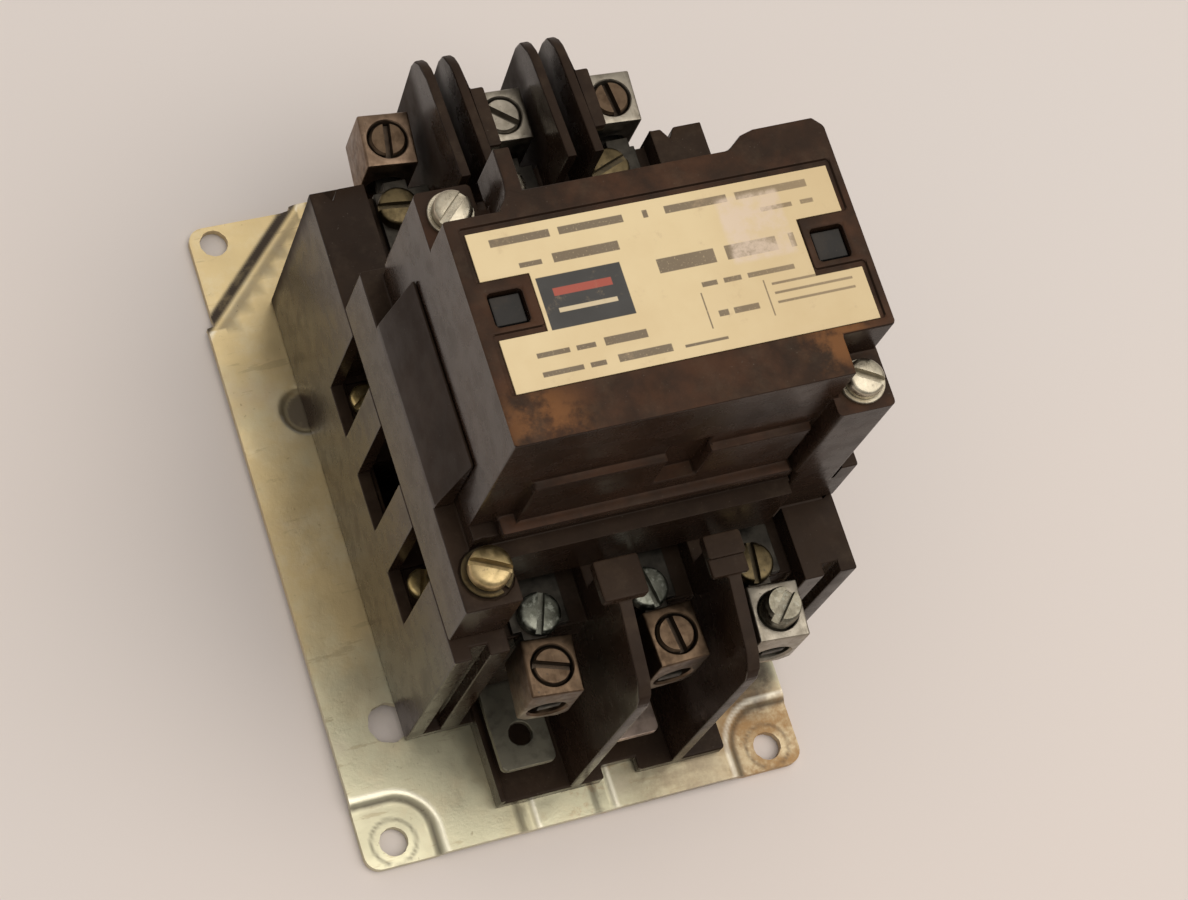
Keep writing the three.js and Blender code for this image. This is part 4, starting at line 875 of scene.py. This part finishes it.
        a, b = edge.verts
        bm.faces.new((a, b, below[b], below[a]))
    bmesh.ops.delete(bm, geom=[vert for vert in bm.verts if not vert.link_faces], context="VERTS")
    placed(bm, MIDDLE.x / MM, MIDDLE.y / MM, 0)
    piece("mounting_plate_look", bm, SHEET, BASE, "plated_steel", "mounting_plate", smooth=50)


# ---------------------------------------------------------------- the pieces
plate_sheet()
refine("contact_housing", HOUSING, 0.45)
refine("crossbar_housing", HOUSING, 0.5)
refine("magnet_cover", COVER, 0.6)
refine("nameplate", LABEL, 0.1)
refine("magnet_core", LAMINATED, 0.3)
refine("coil", COIL, 0.35)
for tab in ("coil_terminal_1", "coil_terminal_2"):
    refine(tab, METALS["tinned_copper"], 0.12)
refine("crossbar", POST, 0.35, CARRIER)
refine("armature", LAMINATED, 0.3, CARRIER)
refine("armature_clip", METALS["spring_steel"], 0.15, CARRIER)

bridge_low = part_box("contact_bridge_1")[0].z / MM
strap_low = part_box("line_strap_1")[0].z / MM
BRIDGE_METAL = faced_copper(
    "contact_copper", (0.62, 0.34, 0.20), (0.42, 0.21, 0.12), bridge_low - 1, bridge_low + 1.18,
)
STRAP_METAL = faced_copper(
    "strap_copper", (0.045, 0.040, 0.032), (0.025, 0.022, 0.018), strap_low + 1.65, strap_low + 3.2,
    [((-12.6, -50, 14), 12, (0.16, 0.15, 0.115)), ((8.2, -50, 14), 12, (0.42, 0.33, 0.28))],
)
CONTACT_SPRING = {"radius": 2.4, "wire": 0.4, "turns": 4, "fixed_z": 41.0, "keep": 3.9 / 5.4}
RETURN_SPRING = {"radius": 2.1, "wire": 0.42, "turns": 6, "fixed_z": 69.9, "keep": 15.6 / 21.1}
for pole in POLES:
    refine(f"contact_bridge_{pole}", BRIDGE_METAL, 0.25, f"bridge_{pole}")
    refine(f"line_strap_{pole}", STRAP_METAL, 0.25)
    refine(f"load_strap_{pole}", STRAP_METAL, 0.25)
    round_spring(f"contact_spring_{pole}", body=CARRIER, joint=f"bridge_{pole}_slide", **CONTACT_SPRING)
for n in (1, 2):
    round_spring(f"return_spring_{n}", body=BASE, joint="crossbar_slide", **RETURN_SPRING)

STRAP_HEAD = {"head": 3.9, "height": 2.6, "width": 1.1}
COVER_HEAD = {"head": 3.4, "height": 2.7, "width": 1.3}
BASE_HEAD = {"head": 3.9, "height": 3.9, "width": 1.2, "undercut": 0.7}
HOUSING_HEAD = {"head": 2.9, "height": 2.2, "width": 0.9}
WASHER_HOLE = 2.3
COARSE_THREAD = {"pitch": 1.15, "depth": 0.42, "width": 1.5}
LUG_TURNS = {"line": (-5, -2, -3), "load": (-5, 2, -4)}
CLAMP_TURNS = {"line": (80, 140, 96), "load": (-18, 97, 48)}
STRAP_TURNS = {"line": (-7, 60, 20), "load": (70, 100, 84)}
CLAMP_METAL = {"line": (DARK_COPPER, None, DARK_COPPER), "load": (DARK_COPPER, DARK_COPPER, WORN_ZINC)}
for side in ("line", "load"):
    for k, pole in enumerate(POLES):
        dark_lug = DARK_COPPER if side == "load" and pole < 3 else None
        box_lug(f"{side}_lug_{pole}", LUG_TURNS[side][k], dark_lug)
        thread = COARSE_THREAD if (side, pole) == ("load", 3) else {}
        screw = f"{side}_lug_screw_{pole}"
        clamp_screw(screw, CLAMP_TURNS[side][k], material=CLAMP_METAL[side][k], **thread)
        chalky = CHALKY_ZINC if side == "load" and pole < 3 else None
        strap_turn = STRAP_TURNS[side][k]
        turned_screw(f"{side}_strap_screw_{pole}", turn=strap_turn, material=chalky, **STRAP_HEAD)
for n, turn in ((1, 42), (2, 150)):
    flat_washer(f"cover_washer_{n}", 4.1, WASHER_HOLE)
    turned_screw(f"cover_screw_{n}", turn=turn, **COVER_HEAD)
for n, turn in ((1, -25), (2, 60)):
    lock_washer(f"base_lock_washer_{n}", 4.7, WASHER_HOLE, -60)
    turned_screw(f"base_screw_{n}", turn=turn, material=DULL_BRASS, **BASE_HEAD)
for n in (1, 2, 3, 4):
    turned_screw(f"housing_screw_{n}", turn=35 * n, material=CLEAN_BRASS, **HOUSING_HEAD)


# ---------------------------------------------------------------- floor, light and camera
def stage():
    bpy.ops.mesh.primitive_plane_add(size=6, location=(0, 0, -0.0004))
    floor = bpy.context.object
    floor.name = "floor"
    f = Finish("floor")
    colour = f.mix(f.ramp(f.noise(3, 3), 0.3, 0.7), (0.72, 0.672, 0.65), (0.75, 0.678, 0.64))
    floor.data.materials.append(f.finish(colour, 0.75))

    def area(name, direction, distance, size, energy, colour):
        light = bpy.data.lights.new(name, "AREA")
        light.size = size
        light.energy = energy
        light.color = colour
        lamp = bpy.data.objects.new(name, light)
        aim = Vector(direction).normalized()
        lamp.location = aim * distance + Vector((0, 0, 0.05))
        lamp.rotation_mode = "QUATERNION"
        lamp.rotation_quaternion = aim.to_track_quat("Z", "Y")
        bpy.context.scene.collection.objects.link(lamp)

    area("key", (0.32, -0.20, 0.93), 1.3, 1.4, 9.8, (1.0, 0.955, 0.895))
    world = bpy.data.worlds.new("world")
    bpy.context.scene.world = world
    world.use_nodes = True
    nodes, links = world.node_tree.nodes, world.node_tree.links
    background = nodes["Background"]
    background.inputs["Color"].default_value = (1.0, 0.95, 0.89, 1)
    split = nodes.new("ShaderNodeSeparateXYZ")
    links.new(nodes.new("ShaderNodeTexCoord").outputs["Generated"], split.inputs[0])
    strength = nodes.new("ShaderNodeMath")
    strength.operation = "MULTIPLY"
    for k, (axis, start, dim, bright) in enumerate((("Z", 0, 0.36, 0.78), ("Y", -1, 0.75, 1.2))):
        fade = nodes.new("ShaderNodeMapRange")
        fade.inputs["From Min"].default_value = start
        fade.inputs["To Min"].default_value = dim
        fade.inputs["To Max"].default_value = bright
        links.new(split.outputs[axis], fade.inputs["Value"])
        links.new(fade.outputs["Result"], strength.inputs[k])
    links.new(strength.outputs[0], background.inputs["Strength"])


def camera():
    """The viewing position, in metres, and the directions of the picture's right, down and depth."""
    right = Vector((0.92356, -0.30151, 0.23693))
    down = Vector((-0.20338, -0.90896, -0.36390))
    depth = Vector((0.32508, 0.28790, -0.90080))
    data = bpy.data.cameras.new("camera")
    data.sensor_width = 36
    data.lens = 98.92
    cam = bpy.data.objects.new("camera", data)
    turn = Matrix((right, -down, -depth)).transposed().to_4x4()
    cam.matrix_world = Matrix.Translation(MIDDLE + Vector((-0.1860, -0.1818, 0.5824))) @ turn
    bpy.context.scene.collection.objects.link(cam)
    bpy.context.scene.camera = cam


stage()
camera()
bpy.context.scene.view_settings.view_transform = "Standard"
